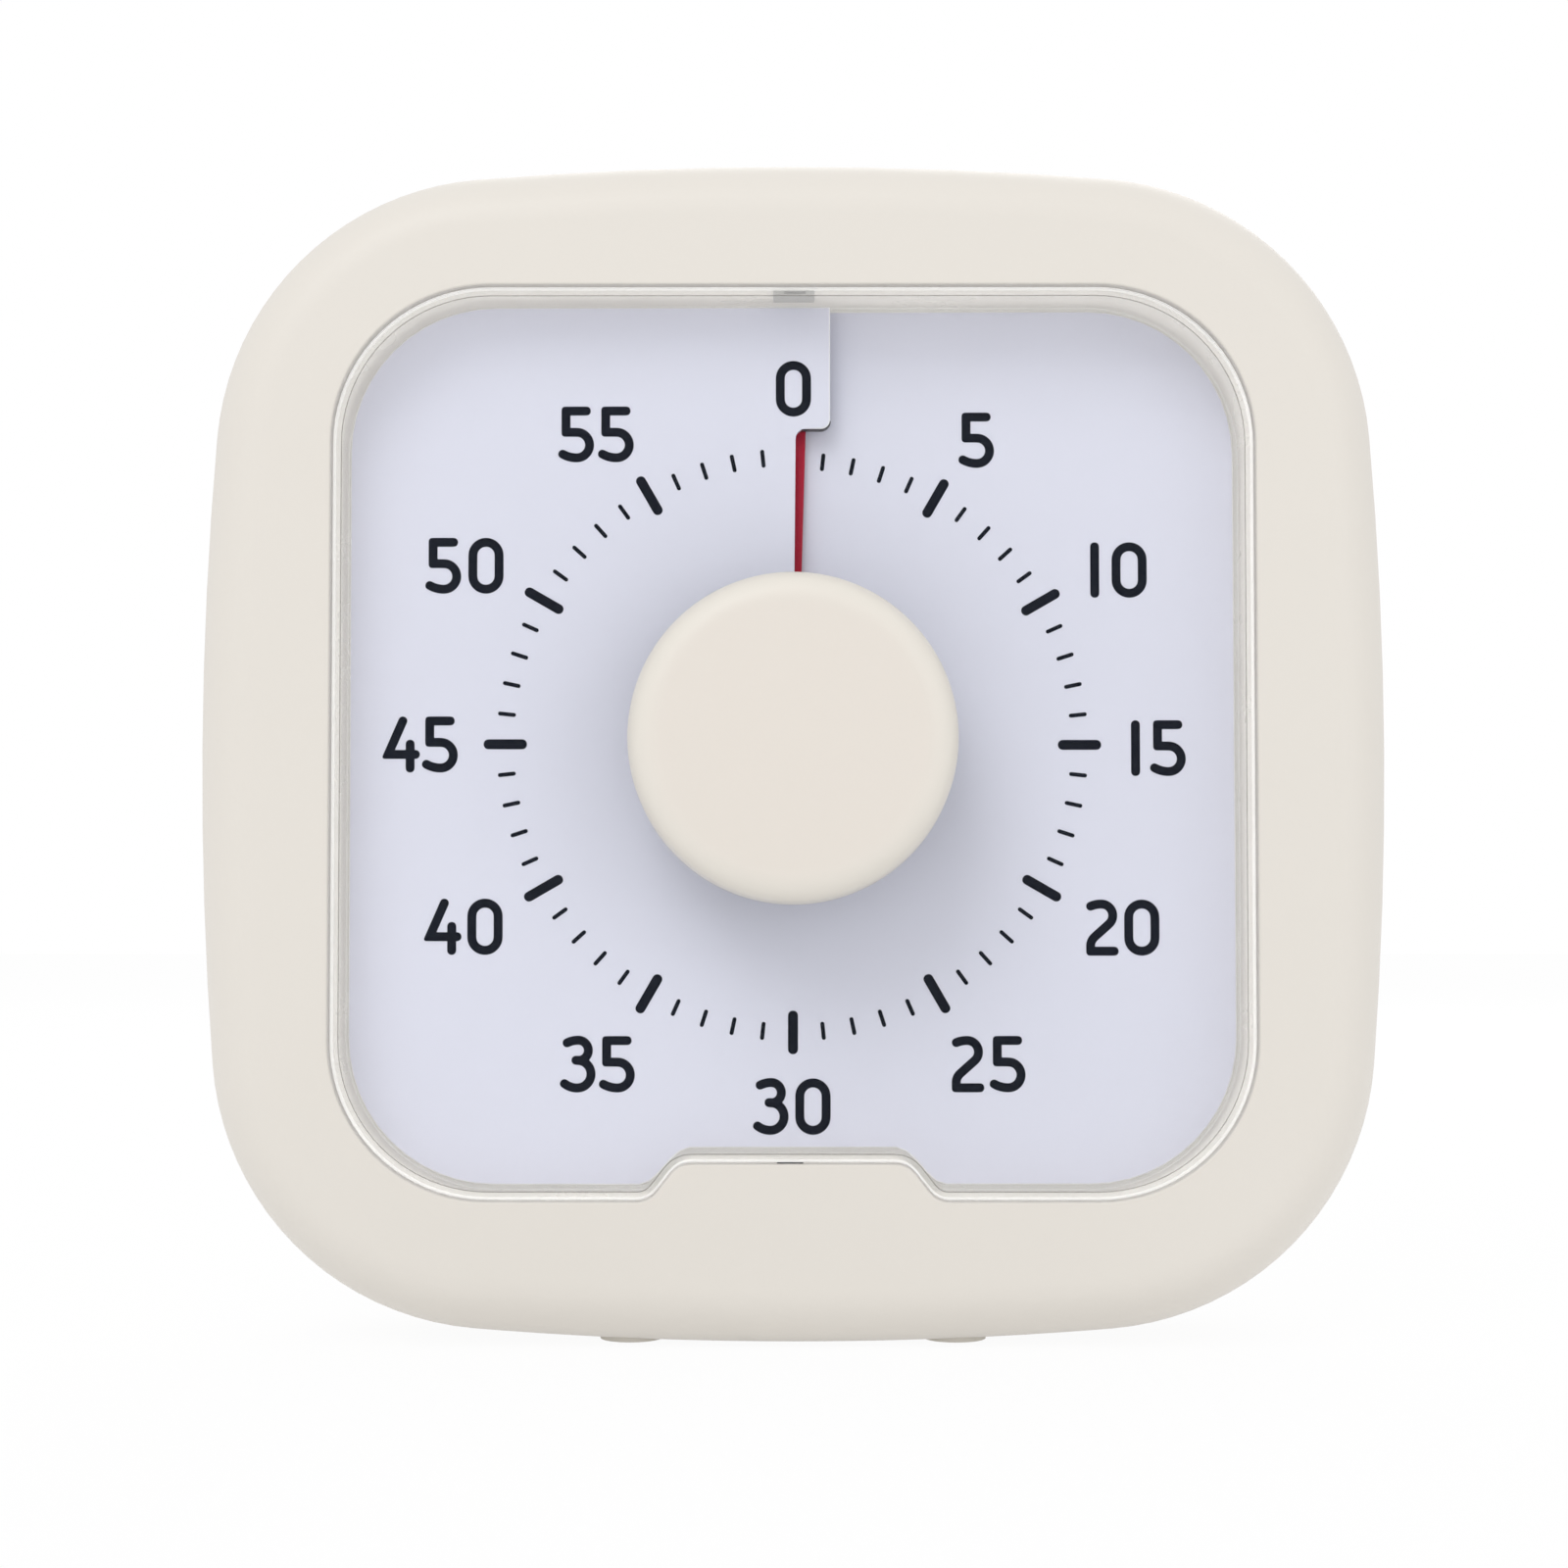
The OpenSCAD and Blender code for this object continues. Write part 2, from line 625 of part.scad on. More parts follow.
sheet_in = hub_r + 0.15;
sheet_steps = 72;
function sheet_section(turn) =
    let (z = ramp(turn) + gap_over)
    let (out = bearing(turn))
    [[each sheet_in * out, z + sheet_t], [each sheet_r * out, z + sheet_t],
        [each sheet_r * out, z], [each sheet_in * out, z]];

module red_sheet() color(crimson) stand() {
    sweep = 360 - sheet_short_deg;
    skin([for (i = [0:sheet_steps]) sheet_section(lead_deg - sweep + sweep * i / sheet_steps)]);
}

hub_low = dial_low + gap_over - pitch - 0.2;
hub_high = dial_low + gap_over + sheet_t + 0.4;
press_fit = 0.02;
knob_back = lens_front + knob_gap;
hub_room = 0.6;
neck_end = hub_high + pitch + hub_room;
socket_room = 0.3;
spindle_front = knob_front - knob_wall - 2 * socket_room;

module key(extra, low, high) {
    translate([-key_w / 2 - extra, 0, low])
        cube([key_w + 2 * extra, spindle_r + key_h + extra, high - low]);
}

module sheet_hub() color(nylon) stand() {
    difference() {
        bar(hub_r, hub_low, hub_high);
        bar(spindle_r + run_fit, hub_low - eps, hub_high + eps);
        key(2 * run_fit, hub_low - eps, hub_high + eps);
    }
}

module knob() color(cream) stand() {
    n = 8;
    r = knob_edge_r;
    inner_r = knob_r - knob_wall;
    rib_t = 1.4;
    rib_back = 1;
    draft = 0.3;
    foot_edge = 0.5;
    rotate_extrude($fn = 128) polygon(concat(
        [[0, knob_front]],
        [for (i = [0:n]) let (a = 90 * i / n)
            [knob_r - r + r * sin(a) - draft * (1 - i / n), knob_front - r + r * cos(a)]],
        [[knob_r, knob_back + foot_edge], [knob_r - foot_edge, knob_back], [inner_r, knob_back],
            [inner_r, knob_front - r], [inner_r - r + knob_wall, knob_front - knob_wall],
            [0, knob_front - knob_wall]]));
    difference() {
        union() {
            bar(neck_r, neck_end, knob_front - knob_wall + eps);
            for (i = [0:knob_ribs - 1]) rotate(i * 360 / knob_ribs)
                translate([0, -rib_t / 2, knob_back + rib_back])
                    cube([inner_r + eps, rib_t, knob_front - knob_wall - knob_edge_r - knob_back]);
        }
        bar(spindle_r + run_fit, neck_end - eps, spindle_front + socket_room);
        key(2 * run_fit, neck_end - eps, spindle_front + socket_room);
    }
}

cam_front = mv_front - mv_wall - 0.5;
cam_t = 1.2;
cam_back = cam_front - cam_t;
wheel_front = cam_back - 0.6;
wheel_t = 1;
clutch_l = 1.6;
spindle_back = wheel_front - wheel_t - clutch_l;

module spindle() color(steel) stand() {
    bar(spindle_r, cam_back + eps, spindle_front);
    bar(clutch_r, spindle_back, cam_back + 2 * eps);
    key(0, chassis_front + nut_t + key_room, spindle_front);
}

cam_r = 6.5;
clutch_r = 2;
key_room = 0.5;
module alarm_cam() color(nylon) stand() {
    notch_w = 3;
    notch_d = 1.2;
    difference() {
        bar(cam_r, cam_back, cam_front);
        bar(spindle_r + run_fit, cam_back - eps, cam_front + eps);
        translate([-notch_w / 2, cam_r - notch_d, cam_back - eps])
            cube([notch_w, 2 * notch_d, cam_t + 2 * eps]);
    }
}

module chassis_plate() color(nylon) stand() {
    rib_h = 3;
    rib_t = 1.5;
    rib_y = 34;
    rib_l = 120;
    ear_root = 2;
    pad_w = 0.8;
    bush_room = 0.2;
    difference() {
        union() {
            translate([0, 0, chassis_back]) linear_extrude(chassis_t)
                polygon([for (s = stations) window_at(s, flange_w)]);
            for (x = [-1, 1], y = [-1, 1]) translate([x * post_x, y * post_y, 0]) {
                bar(post_r + pad_w, chassis_back, chassis_front);
                translate([x > 0 ? -post_out - ear_root : 0, -post_r, chassis_back])
                    cube([post_out + ear_root, 2 * post_r, chassis_t]);
            }
            for (y = [-1, 1]) translate([0, y * rib_y, 0])
                slab(rib_l, rib_t, chassis_back - (y > 0 ? rib_h : 0) - eps, chassis_back + eps);
        }
        bar(bush_r + bush_room, chassis_back - eps, chassis_front + eps);
        at_posts() bar(screw_hole_r, chassis_back - eps, chassis_front + eps);
    }
}

module bush_nut() color(brass) stand() {
    difference() {
        translate([0, 0, chassis_front]) cylinder(d = nut_w / cos(30), h = nut_t, $fn = 6);
        bar(bush_r + press_fit, chassis_front - eps, chassis_front + nut_t + eps);
    }
}

module centre_bush() color(brass) stand() {
    difference() {
        bar(bush_r, mv_front - mv_wall, chassis_front + nut_t - run_fit);
        bar(spindle_r + run_fit, mv_front - mv_wall - eps, chassis_front + nut_t);
    }
}

// The going train: [x, y] places round the centre wheel, each in mesh with the next.
centre_teeth = 64;
third_teeth = 60;
fourth_teeth = 60;
fifth_teeth = 60;
third_leaves = 8;
fourth_leaves = 8;
fifth_leaves = 12;
rotor_leaves = 10;
centre_m = 0.45;
third_m = 0.35;
fourth_m = 0.30;
fifth_m = 0.25;
third_gap = centre_m * (centre_teeth + third_leaves) / 2;
fourth_gap = third_m * (third_teeth + fourth_leaves) / 2;
fifth_gap = fourth_m * (fourth_teeth + fifth_leaves) / 2;
rotor_gap = fifth_m * (fifth_teeth + rotor_leaves) / 2;
third_dir = 125;
third_at = third_gap * bearing(third_dir);
fourth_at = step_round(third_at, fourth_gap);
fifth_at = step_round(fourth_at, fifth_gap);
rotor_at = step_round(fifth_at, rotor_gap);
// The next arbor lies as far from the axis as the third one, dist away and clockwise.
function step_round(from, dist) =
    third_gap * bearing(clockwise(from) + 2 * asin(dist / (2 * third_gap)));
function toward(from, to) = clockwise(to - from);
layer = 2.3;
third_front = wheel_front - layer;
fourth_front = third_front - layer;
fifth_front = fourth_front - layer;
pivot_front = mv_front - mv_wall / 2;
pivot_back = mv_back + mv_wall / 2;

// Teeth of module m; mesh_dir is the bearing at which a tooth, or a gap, faces its mate.
module teeth(m, count, low, high, mesh_dir, gap = false) {
    pitch_r = m * count / 2;
    step = 360 / count;
    addendum = 0.8;
    dedendum = 1.1;
    tip_r = pitch_r + addendum * m;
    root_r = pitch_r - dedendum * m;
    root_half = step / 4;
    tip_half = step / 10;
    start = mesh_dir + (gap ? step / 2 : 0);
    translate([0, 0, low]) linear_extrude(high - low) polygon([for (i = [0:count - 1])
        let (a = start + i * step)
        each [root_r * bearing(a - root_half), tip_r * bearing(a - tip_half),
            tip_r * bearing(a + tip_half), root_r * bearing(a + root_half)]]);
}
module arbor(at, low, high) {
    translate([at.x, at.y, 0]) {
        bar(arbor_r, low, high);
        bar(pivot_r, pivot_back + end_shake, pivot_front - end_shake);
    }
}
end_shake = 0.1;
shoulder_gap = 0.15;
arbor_front = mv_front - mv_wall - shoulder_gap;
arbor_back = mv_back + mv_wall + shoulder_gap;
module at_arbors() {
    for (p = [third_at, fourth_at, fifth_at, rotor_at]) translate([p.x, p.y, 0]) children();
}
module bearing_holes(low, high) {
    at_arbors() bar(pivot_r + run_fit, low, high);
}

module centre_wheel() color(brass) stand() {
    boss_t = 1.6;
    difference() {
        union() {
            teeth(centre_m, centre_teeth, wheel_front - wheel_t, wheel_front,
                toward([0, 0], third_at));
            bar(clutch_r + boss_t, spindle_back, wheel_front);
        }
        bar(clutch_r + run_fit, spindle_back - eps, wheel_front + eps);
    }
}
module third_wheel() color(brass) stand() {
    translate([third_at.x, third_at.y, 0]) {
        teeth(centre_m, third_leaves, third_front - eps, wheel_front,
            toward(third_at, [0, 0]), true);
        teeth(third_m, third_teeth, third_front - wheel_t, third_front,
            toward(third_at, fourth_at));
    }
    arbor(third_at, arbor_back, arbor_front);
}
module fourth_wheel() color(nylon) stand() {
    translate([fourth_at.x, fourth_at.y, 0]) {
        teeth(third_m, fourth_leaves, fourth_front - eps, third_front,
            toward(fourth_at, third_at), true);
        teeth(fourth_m, fourth_teeth, fourth_front - wheel_t, fourth_front,
            toward(fourth_at, fifth_at));
    }
    arbor(fourth_at, arbor_back, arbor_front);
}
module fifth_wheel() color(nylon) stand() {
    translate([fifth_at.x, fifth_at.y, 0]) {
        teeth(fourth_m, fifth_leaves, fifth_front - eps, fourth_front,
            toward(fifth_at, fourth_at), true);
        teeth(fifth_m, fifth_teeth, fifth_front - wheel_t, fifth_front,
            toward(fifth_at, rotor_at));
    }
    arbor(fifth_at, arbor_back, arbor_front);
}
magnet_r = 2.6;
magnet_front = fifth_front - wheel_t - 0.5;
magnet_back = mv_back + mv_wall + 0.6;
module rotor() color(nylon) stand() {
    pinion_over = 0.6;
    translate([rotor_at.x, rotor_at.y, 0]) {
        teeth(fifth_m, rotor_leaves, magnet_front - eps, fifth_front + pinion_over,
            toward(rotor_at, fifth_at), true);
        bar(magnet_r, magnet_back, magnet_front);
    }
    arbor(rotor_at, arbor_back, arbor_front);
}

stator_t = 1;
stator_half = 13;
arm_w = 4;
core_t = 1;
coil_r = 1.8;
coil_flange = 0.4;
coil_room = 1.2;
coil_gap = rotor_at.x + mv_w / 2 - mv_wall - coil_room - coil_r - coil_flange;
stator_front = (magnet_front + magnet_back) / 2 + stator_t / 2;
module stator() color(steel) stand() {
    stator_w = 8;
    arm_over = 1.5;
    air_gap = 0.5;
    low = stator_front - stator_t;
    translate([rotor_at.x, rotor_at.y, 0]) difference() {
        union() {
            slab(stator_w, 2 * stator_half, low, stator_front);
            for (y = [0, 2 * stator_half - arm_w]) translate([-coil_gap - arm_over, y - stator_half, low])
                cube([coil_gap + arm_over, arm_w, stator_t]);
        }
        bar(magnet_r + air_gap, low - eps, stator_front + eps);
    }
}
// The winding on its bobbin, and the core that rests on the stator's two arms
module coil() color(copper) stand() {
    core_w = 2.4;
    flange_t = 0.8;
    clear = 0.3;
    half_l = stator_half - arm_w - clear;
    translate([rotor_at.x - coil_gap, rotor_at.y, stator_front + core_t / 2]) {
        rotate([90, 0, 0]) {
            bar(coil_r, -half_l, half_l);
            bar(coil_r + coil_flange, -half_l, -half_l + flange_t);
            bar(coil_r + coil_flange, half_l - flange_t, half_l);
        }
        slab(core_w, 2 * stator_half, -core_t / 2, core_t / 2);
    }
}

mv_screw_in = 4.2;
mv_screw_at = mv_w / 2 - mv_screw_in;
mv_screw_r = 0.9;
mv_head_r = 2;
mv_head_t = 1;
mv_pillar_r = 2.4;
mv_sink = 1.2;
module at_mv_screws() {
    for (p = [[1, 1], [-1, 1], [1, -1]]) translate([p.x * mv_screw_at, p.y * mv_screw_at, 0]) children();
}
// One half of the movement's case: a box open towards the other half, with three pillars.
module mv_half(low, high, floor_low, floor_high) {
    inside = mv_w - 2 * mv_wall;
    difference() {
        block(mv_w, mv_w, mv_r, low, high);
        difference() {
            block(inside, inside, mv_r - mv_wall / 2, floor_low, floor_high);
            at_mv_screws() bar(mv_pillar_r, low - 1, high + 1);
        }
    }
}
module movement_front() color(black) stand() {
    thread_end = mv_front - 1;
    difference() {
        mv_half(mv_split, mv_front, mv_split - eps, mv_front - mv_wall);
        bar(bush_r + press_fit, mv_front - mv_wall - eps, mv_front + eps);
        at_mv_screws() bar(mv_screw_r + run_fit, mv_split - eps, thread_end);
        bearing_holes(mv_front - mv_wall - eps, pivot_front);
    }
}
module movement_rear() color(black) stand() {
    difference() {
        mv_half(mv_back, mv_split, mv_back + mv_wall, mv_split + eps);
        at_mv_screws() {
            bar(mv_screw_r + seat_gap, mv_back - eps, mv_split + eps);
            bar(mv_head_r + seat_gap, mv_back - eps, mv_back + mv_sink);
        }
        bearing_holes(pivot_back, mv_back + mv_wall + eps);
    }
}

module alarm_leaf() color(brass) stand() {
    leaf_t = 0.3;
    leaf_w = 1;
    leaf_l = 22;
    tip_x = -6;
    foot_w = 2;
    foot_h = 5;
    leaf_low = (cam_front + cam_back - leaf_w) / 2;
    foot_high = mv_front - mv_wall - 0.1;
    translate([tip_x, cam_r + leaf_t, leaf_low]) {
        cube([leaf_l, leaf_t, leaf_w]);
        translate([leaf_l - foot_w, 0, 0]) cube([foot_w, foot_h, foot_high - leaf_low]);
    }
}

module circuit_board() color(board_green) stand() {
    difference() {
        at_board() block(board_w, board_h, 1, board_face, board_face + board_t);
        at_board_posts() bar(board_screw_r + seat_gap, board_face - eps, board_face + board_t + eps);
    }
}
module quartz_crystal() color(steel) stand() {
    can_r = 1.5;
    can_l = 8;
    can_x = 6;
    at_board() translate([can_x, -board_h / 4, board_face + board_t + can_r + run_fit])
        rotate([0, 90, 0]) cylinder(r = can_r, h = can_l);
}

switch_front = board_face - run_fit;
switch_back = board_face - 3.6;
stem_w = 2.4;
stem_h = 1.6;
track_d = 2;
stem_fit = 0.4;
module switch_body() color(steel) stand() {
    rim_w = 2;
    body_h = 7;
    at_board() difference() {
        slab(slot_w + 2 * rim_w, body_h, switch_back, switch_front);
        slab(stem_w + 2 * (switch_travel + stem_fit), stem_h + 2 * stem_fit,
            switch_back - eps, switch_back + track_d);
    }
}
module switch_button() color(black) stand() {
    ridge_step = 1.2;
    ridge_w = 0.5;
    ridge_d = 0.4;
    face = back + 0.2;
    shoe = back_inner + 0.8;
    at_board() {
        difference() {
            slab(button_w, slot_h, face, shoe);
            for (i = [-1:1]) translate([i * ridge_step, 0, 0])
                slab(ridge_w, slot_h + eps, face - eps, face + ridge_d);
        }
        slab(stem_w, stem_h, shoe - eps, switch_back + track_d - stem_fit);
    }
}

module buzzer() color(black) stand() {
    sound_r = 2;
    sound_d = 2;
    low = back_inner + buzzer_shelf;
    at_buzzer() difference() {
        bar(buzzer_r, low, low + buzzer_t);
        bar(sound_r, low - eps, low + sound_d);
    }
}

cell_z = back + door_t + 2 * seat_gap + cell_r;
cell_gap = 1.1;
contact_t = 0.4;
contact_gap = 0.1;
module at_cell() {
    translate([bay_l / 2 - cell_gap, -bay_down, cell_z]) rotate([0, -90, 0]) children();
}
module battery_cell() color([0.30, 0.32, 0.36]) stand() {
    button_r = 2.7;
    button_l = 1;
    rim = 0.5;
    at_cell() rotate_extrude() polygon([[0, 0], [button_r, 0], [button_r, button_l],
        [cell_r - rim, button_l], [cell_r, button_l + rim], [cell_r, cell_l - rim],
        [cell_r - rim, cell_l], [0, cell_l]]);
}
module contact_plate() {
    w = 10;
    slab(w, w, 0, contact_t);
}
module positive_contact() color(steel) stand() {
    dimple_r = 2;
    dimple_h = 0.4;
    translate([bay_l / 2 - contact_gap, -bay_down, cell_z]) rotate([0, -90, 0]) {
        contact_plate();
        bar(dimple_r, 0, contact_t + dimple_h);
    }
}
// A cone of round wire, wound by a helix that closes on the plate.
wire_r = 0.4;
coil_turns = 4;
spring_wide = 4.5;
spring_narrow = 2.6;
spring_steps = 12;
function spring_spot(i, n, length) =
    let (a = 360 * i / spring_steps)
    let (r = spring_wide + (spring_narrow - spring_wide) * i / n)
    [r * cos(a), r * sin(a), contact_t + 0.7 * wire_r + length * i / n];
function wire_ring(p, a, r, sides) = [for (k = [0:sides - 1]) let (b = 360 * k / sides)
    p + [r * cos(b) * cos(a), r * cos(b) * sin(a), r * sin(b)]];
module spring_contact() color(steel) stand() {
    wire_sides = 6;
    end_gap = 0.3;
    space = bay_l - cell_gap - cell_l;
    n = coil_turns * spring_steps;
    length = space - contact_t - end_gap - 2 * wire_r;
    translate([-bay_l / 2 + contact_gap, -bay_down, cell_z]) rotate([0, 90, 0]) {
        contact_plate();
        skin([for (i = [0:n])
            wire_ring(spring_spot(i, n, length), 360 * i / spring_steps, wire_r, wire_sides)]);
    }
}

module battery_door() color(cream) stand() {
    neck = 2.2;
    translate([0, -bay_down, 0]) {
        difference() {
            slab(door_w, door_h, back, back + door_t);
            translate([0, -bay_h / 2, back - scoop_r + scoop_d]) sphere(r = scoop_r);
        }
        for (x = [-1, 1]) translate([x * tongue_x - tongue_w / 2, door_h / 2 - neck, 0]) {
            translate([0, 0, back + door_t - eps])
                cube([tongue_w, neck, tongue_back + tongue_t - back - door_t]);
            translate([0, 0, tongue_back]) cube([tongue_w, neck + tongue_h, tongue_t]);
        }
    }
}

// A lead swept along its route: straight runs joined by bends that start and end
// half way along them, with a ring square to the route at each point.
lead_r = 0.6;
lead_sides = 8;
bend_steps = 4;
on_face = lead_r + run_fit;
function half_way(a, b) = (a + b) / 2;
function bends(points) = let (last = len(points) - 1) concat([points[0]],
    [for (k = [1:last - 1])
        let (from = half_way(points[k - 1], points[k]))
        let (to = half_way(points[k], points[k + 1]))
        for (i = [0:bend_steps]) let (t = i / bend_steps) if (k == 1 || i > 0)
            from * (1 - t) * (1 - t) + points[k] * 2 * t * (1 - t) + to * t * t],
    [points[last]]);
function heading(route, i) = route[min(i + 1, len(route) - 1)] - route[max(i - 1, 0)];
function lead_ring(p, d) =
    let (f = d / norm(d))
    let (u = cross(f, [0, 0, 1]) / norm(cross(f, [0, 0, 1])))
    let (v = cross(u, f))
    [for (k = [0:lead_sides - 1]) let (b = 360 * k / lead_sides) p + lead_r * (cos(b) * u + sin(b) * v)];
module lead(points) {
    route = bends(points);
    skin([for (i = [0:len(route) - 1]) lead_ring(route[i], heading(route, i))]);
}
board_top = board_face + board_t + on_face;
lead_step = 3;

// The pads where the leads are soldered, measured from the board's right edge and
// its lower or upper edge.
pad_in = 12;
pad_up = 3;

// Both leads leave the board's lower edge. One runs along the bay to the far contact,
// the other one ends beside the near contact.
module battery_leads() color(crimson) stand() {
    start = [-board_left + board_w / 2 - pad_in, -board_h / 2 + pad_up, board_top];
    other = start - [lead_step, 0, 0];
    bay_top = -bay_down + bay_h / 2 + bay_wall + on_face;
    bay_side = -bay_l / 2 - bay_wall - on_face;
    lead([start, start + [0, -10, 0], [start.x + 8, bay_top, cell_z],
        [start.x + 22, bay_top, cell_z], [bay_l / 2 - 2, bay_top, cell_z]]);
    lead([other, other + [0, -20, 0], [bay_side - 4, bay_top - 4, cell_z],
        [bay_side, -bay_down + 3, cell_z], [bay_side, -bay_down - 5, cell_z]]);
}
// Both leads run from the buzzer over the movement to the board's upper edge.
module buzzer_leads() color(black) stand() {
    buzzer_top = back_inner + buzzer_shelf + buzzer_t + on_face;
    clear = 5;
    over = mv_w / 2 + clear;
    side = over + lead_step;
    start = [buzzer_right - 4, lead_step, buzzer_top];
    end = [-board_left + board_w / 2 - pad_in, board_h / 2 - pad_up, board_top];
    for (i = [0, 1]) let (d = lead_step * i)
        lead([start + [0, d, 0], start + [-8, d, 0], [side + d, start.y + d, buzzer_top],
            [side + d, over + d, board_top], [end.x - d, over + d, board_top],
            end + [-d, 6, 0], end + [-d, 0, 0]]);
}

// A screw with its head's seat at zero, and a cross cut into its head.
module screw(r, l, head_r, head_t) {
    cross_l = 1.1;
    cross_w = 0.25;
    cross_floor = 0.4;
    difference() {
        union() {
            bar(r, -eps, l);
            bar(head_r, -head_t, 0);
        }
        for (a = [0, 90]) rotate(a)
            slab(head_r * cross_l, head_r * cross_w, -head_t - eps, -head_t * cross_floor);
    }
}
module case_screws() color(steel) stand() {
    at_bosses() translate([0, 0, well_seat]) screw(screw_r, screw_l, screw_head_r, screw_head_t);
}
module chassis_screws() color(steel) stand() {
    at_posts() translate([0, 0, chassis_back])
        screw(screw_r, screw_l - tip_room, screw_head_r, screw_head_t);
}
tip_room = 0.5;
module movement_screws() color(steel) stand() {
    at_mv_screws() translate([0, 0, mv_back + mv_sink])
        screw(mv_screw_r, mv_d - mv_sink - mv_wall - 3 * tip_room, mv_head_r, mv_head_t);
}
module board_screws() color(steel) stand() {
    at_board_posts() translate([0, 0, board_face + board_t]) rotate([180, 0, 0])
        screw(board_screw_r, board_screw_l, mv_head_r, mv_head_t);
}

module rubber_feet() color([0.55, 0.54, 0.52]) stand() {
    foot_places() bar(foot_r, -foot_seat + eps, -bottom_y);
}

front_frame();
rear_case();
clear_cover();
dial();
red_sheet();
sheet_hub();
knob();
spindle();
alarm_cam();
chassis_plate();
bush_nut();
centre_bush();
movement_front();
movement_rear();
rotor();
fifth_wheel();
fourth_wheel();
third_wheel();
centre_wheel();
stator();
coil();
alarm_leaf();
circuit_board();
quartz_crystal();
buzzer();
switch_body();
switch_button();
battery_cell();
positive_contact();
spring_contact();
battery_door();
battery_leads();
buzzer_leads();
case_screws();
chassis_screws();
movement_screws();
board_screws();
rubber_feet();
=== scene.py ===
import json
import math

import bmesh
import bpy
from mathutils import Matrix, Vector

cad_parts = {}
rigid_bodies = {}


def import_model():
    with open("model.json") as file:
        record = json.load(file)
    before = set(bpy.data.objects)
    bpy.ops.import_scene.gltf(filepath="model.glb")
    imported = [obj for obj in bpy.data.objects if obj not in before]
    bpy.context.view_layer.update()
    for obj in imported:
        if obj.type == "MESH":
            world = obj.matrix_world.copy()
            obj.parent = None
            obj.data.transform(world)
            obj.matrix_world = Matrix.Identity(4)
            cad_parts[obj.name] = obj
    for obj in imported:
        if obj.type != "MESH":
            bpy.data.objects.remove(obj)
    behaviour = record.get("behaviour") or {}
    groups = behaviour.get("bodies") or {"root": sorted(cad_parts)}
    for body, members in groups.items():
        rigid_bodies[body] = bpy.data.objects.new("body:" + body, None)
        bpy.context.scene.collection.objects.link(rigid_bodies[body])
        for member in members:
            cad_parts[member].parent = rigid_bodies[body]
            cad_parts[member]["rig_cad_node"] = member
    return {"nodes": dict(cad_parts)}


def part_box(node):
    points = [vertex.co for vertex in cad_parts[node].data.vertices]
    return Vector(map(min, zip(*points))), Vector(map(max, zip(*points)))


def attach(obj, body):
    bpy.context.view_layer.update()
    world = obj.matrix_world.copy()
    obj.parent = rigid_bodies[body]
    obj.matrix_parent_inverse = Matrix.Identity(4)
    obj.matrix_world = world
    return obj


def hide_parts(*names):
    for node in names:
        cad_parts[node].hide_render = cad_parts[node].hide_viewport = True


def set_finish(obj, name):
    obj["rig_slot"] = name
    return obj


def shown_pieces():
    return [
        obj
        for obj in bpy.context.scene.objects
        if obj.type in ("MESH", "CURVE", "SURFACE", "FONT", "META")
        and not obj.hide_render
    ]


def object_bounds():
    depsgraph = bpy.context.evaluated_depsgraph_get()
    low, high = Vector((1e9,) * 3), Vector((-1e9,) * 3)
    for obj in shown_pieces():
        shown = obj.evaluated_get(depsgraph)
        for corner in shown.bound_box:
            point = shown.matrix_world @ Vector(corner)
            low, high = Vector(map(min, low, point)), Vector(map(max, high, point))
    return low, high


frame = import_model()

# %% [markdown]
# # A sixty minute visual timer
# The object is a cream plastic box with a clear cover, a white dial that climbs like a
# spiral ramp, a red sheet that slides out of a slit in it, and one large knob. The CAD
# model is loaded as a fixed frame, and this file dresses it: what shows is modelled again
# with finer edges, and every part gets a finish of its own.

cad_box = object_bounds()
nodes = frame["nodes"]
FACE_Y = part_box("front_frame")[0].y
KNOB_LOW, KNOB_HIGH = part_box("knob")
AXIS_Z = (KNOB_LOW.z + KNOB_HIGH.z) / 2
MM = 0.001
scene = bpy.context.scene
print("rim plane at y", round(FACE_Y, 4), "axis at z", round(AXIS_Z, 4))


def face_z(y):
    """How far a row y lies in front of the rim plane, in millimetres."""
    return (FACE_Y - y) / MM


# %% [markdown]
# ## The camera
# The photograph looks at the timer from a little below the middle, from about 45 cm.
# A camera could be aimed by eye, but here its place was worked out from the sizes of the
# rim and the knob, which lie at different depths, so that both come out as large as seen.

# %% Camera
CAMERA_X, CAMERA_AWAY, CAMERA_BELOW = -0.00020, 0.450, 0.02421
TILT_UP, TURN_LEFT, FOCAL_LENGTH = 2.207, 0.154, 65.83
bpy.ops.object.camera_add(location=(CAMERA_X, FACE_Y - CAMERA_AWAY, AXIS_Z - CAMERA_BELOW))
camera = bpy.context.object
camera.name = "camera"
camera.rotation_euler = (math.radians(90 + TILT_UP), 0, math.radians(TURN_LEFT))
camera.data.sensor_width = 36
camera.data.lens = FOCAL_LENGTH
camera.data.clip_start = 0.01
camera.data.dof.use_dof = False
scene.camera = camera
scene.view_settings.view_transform = "Standard"
print("camera", CAMERA_AWAY, "m away, lens", FOCAL_LENGTH, "mm")

# %% [markdown]
# ## A pen for the bench
# Nearly every outline here is made of straight lines and arcs. Each piece is drawn flat on
# a bench in millimetres, x to the right, y up and z towards the viewer, and stood up at the
# end. The pen puts down one point and carries it along with extrude and spin, as one would
# by hand. Typing the outlines as long lists of points would work too, but arcs stay exact.


# %% The bench and the pen
def select_none():
    for other in bpy.context.selected_objects:
        other.select_set(False)


def alone(piece):
    """Makes piece the only selected and active object."""
    select_none()
    piece.select_set(True)
    bpy.context.view_layer.objects.active = piece
    return piece


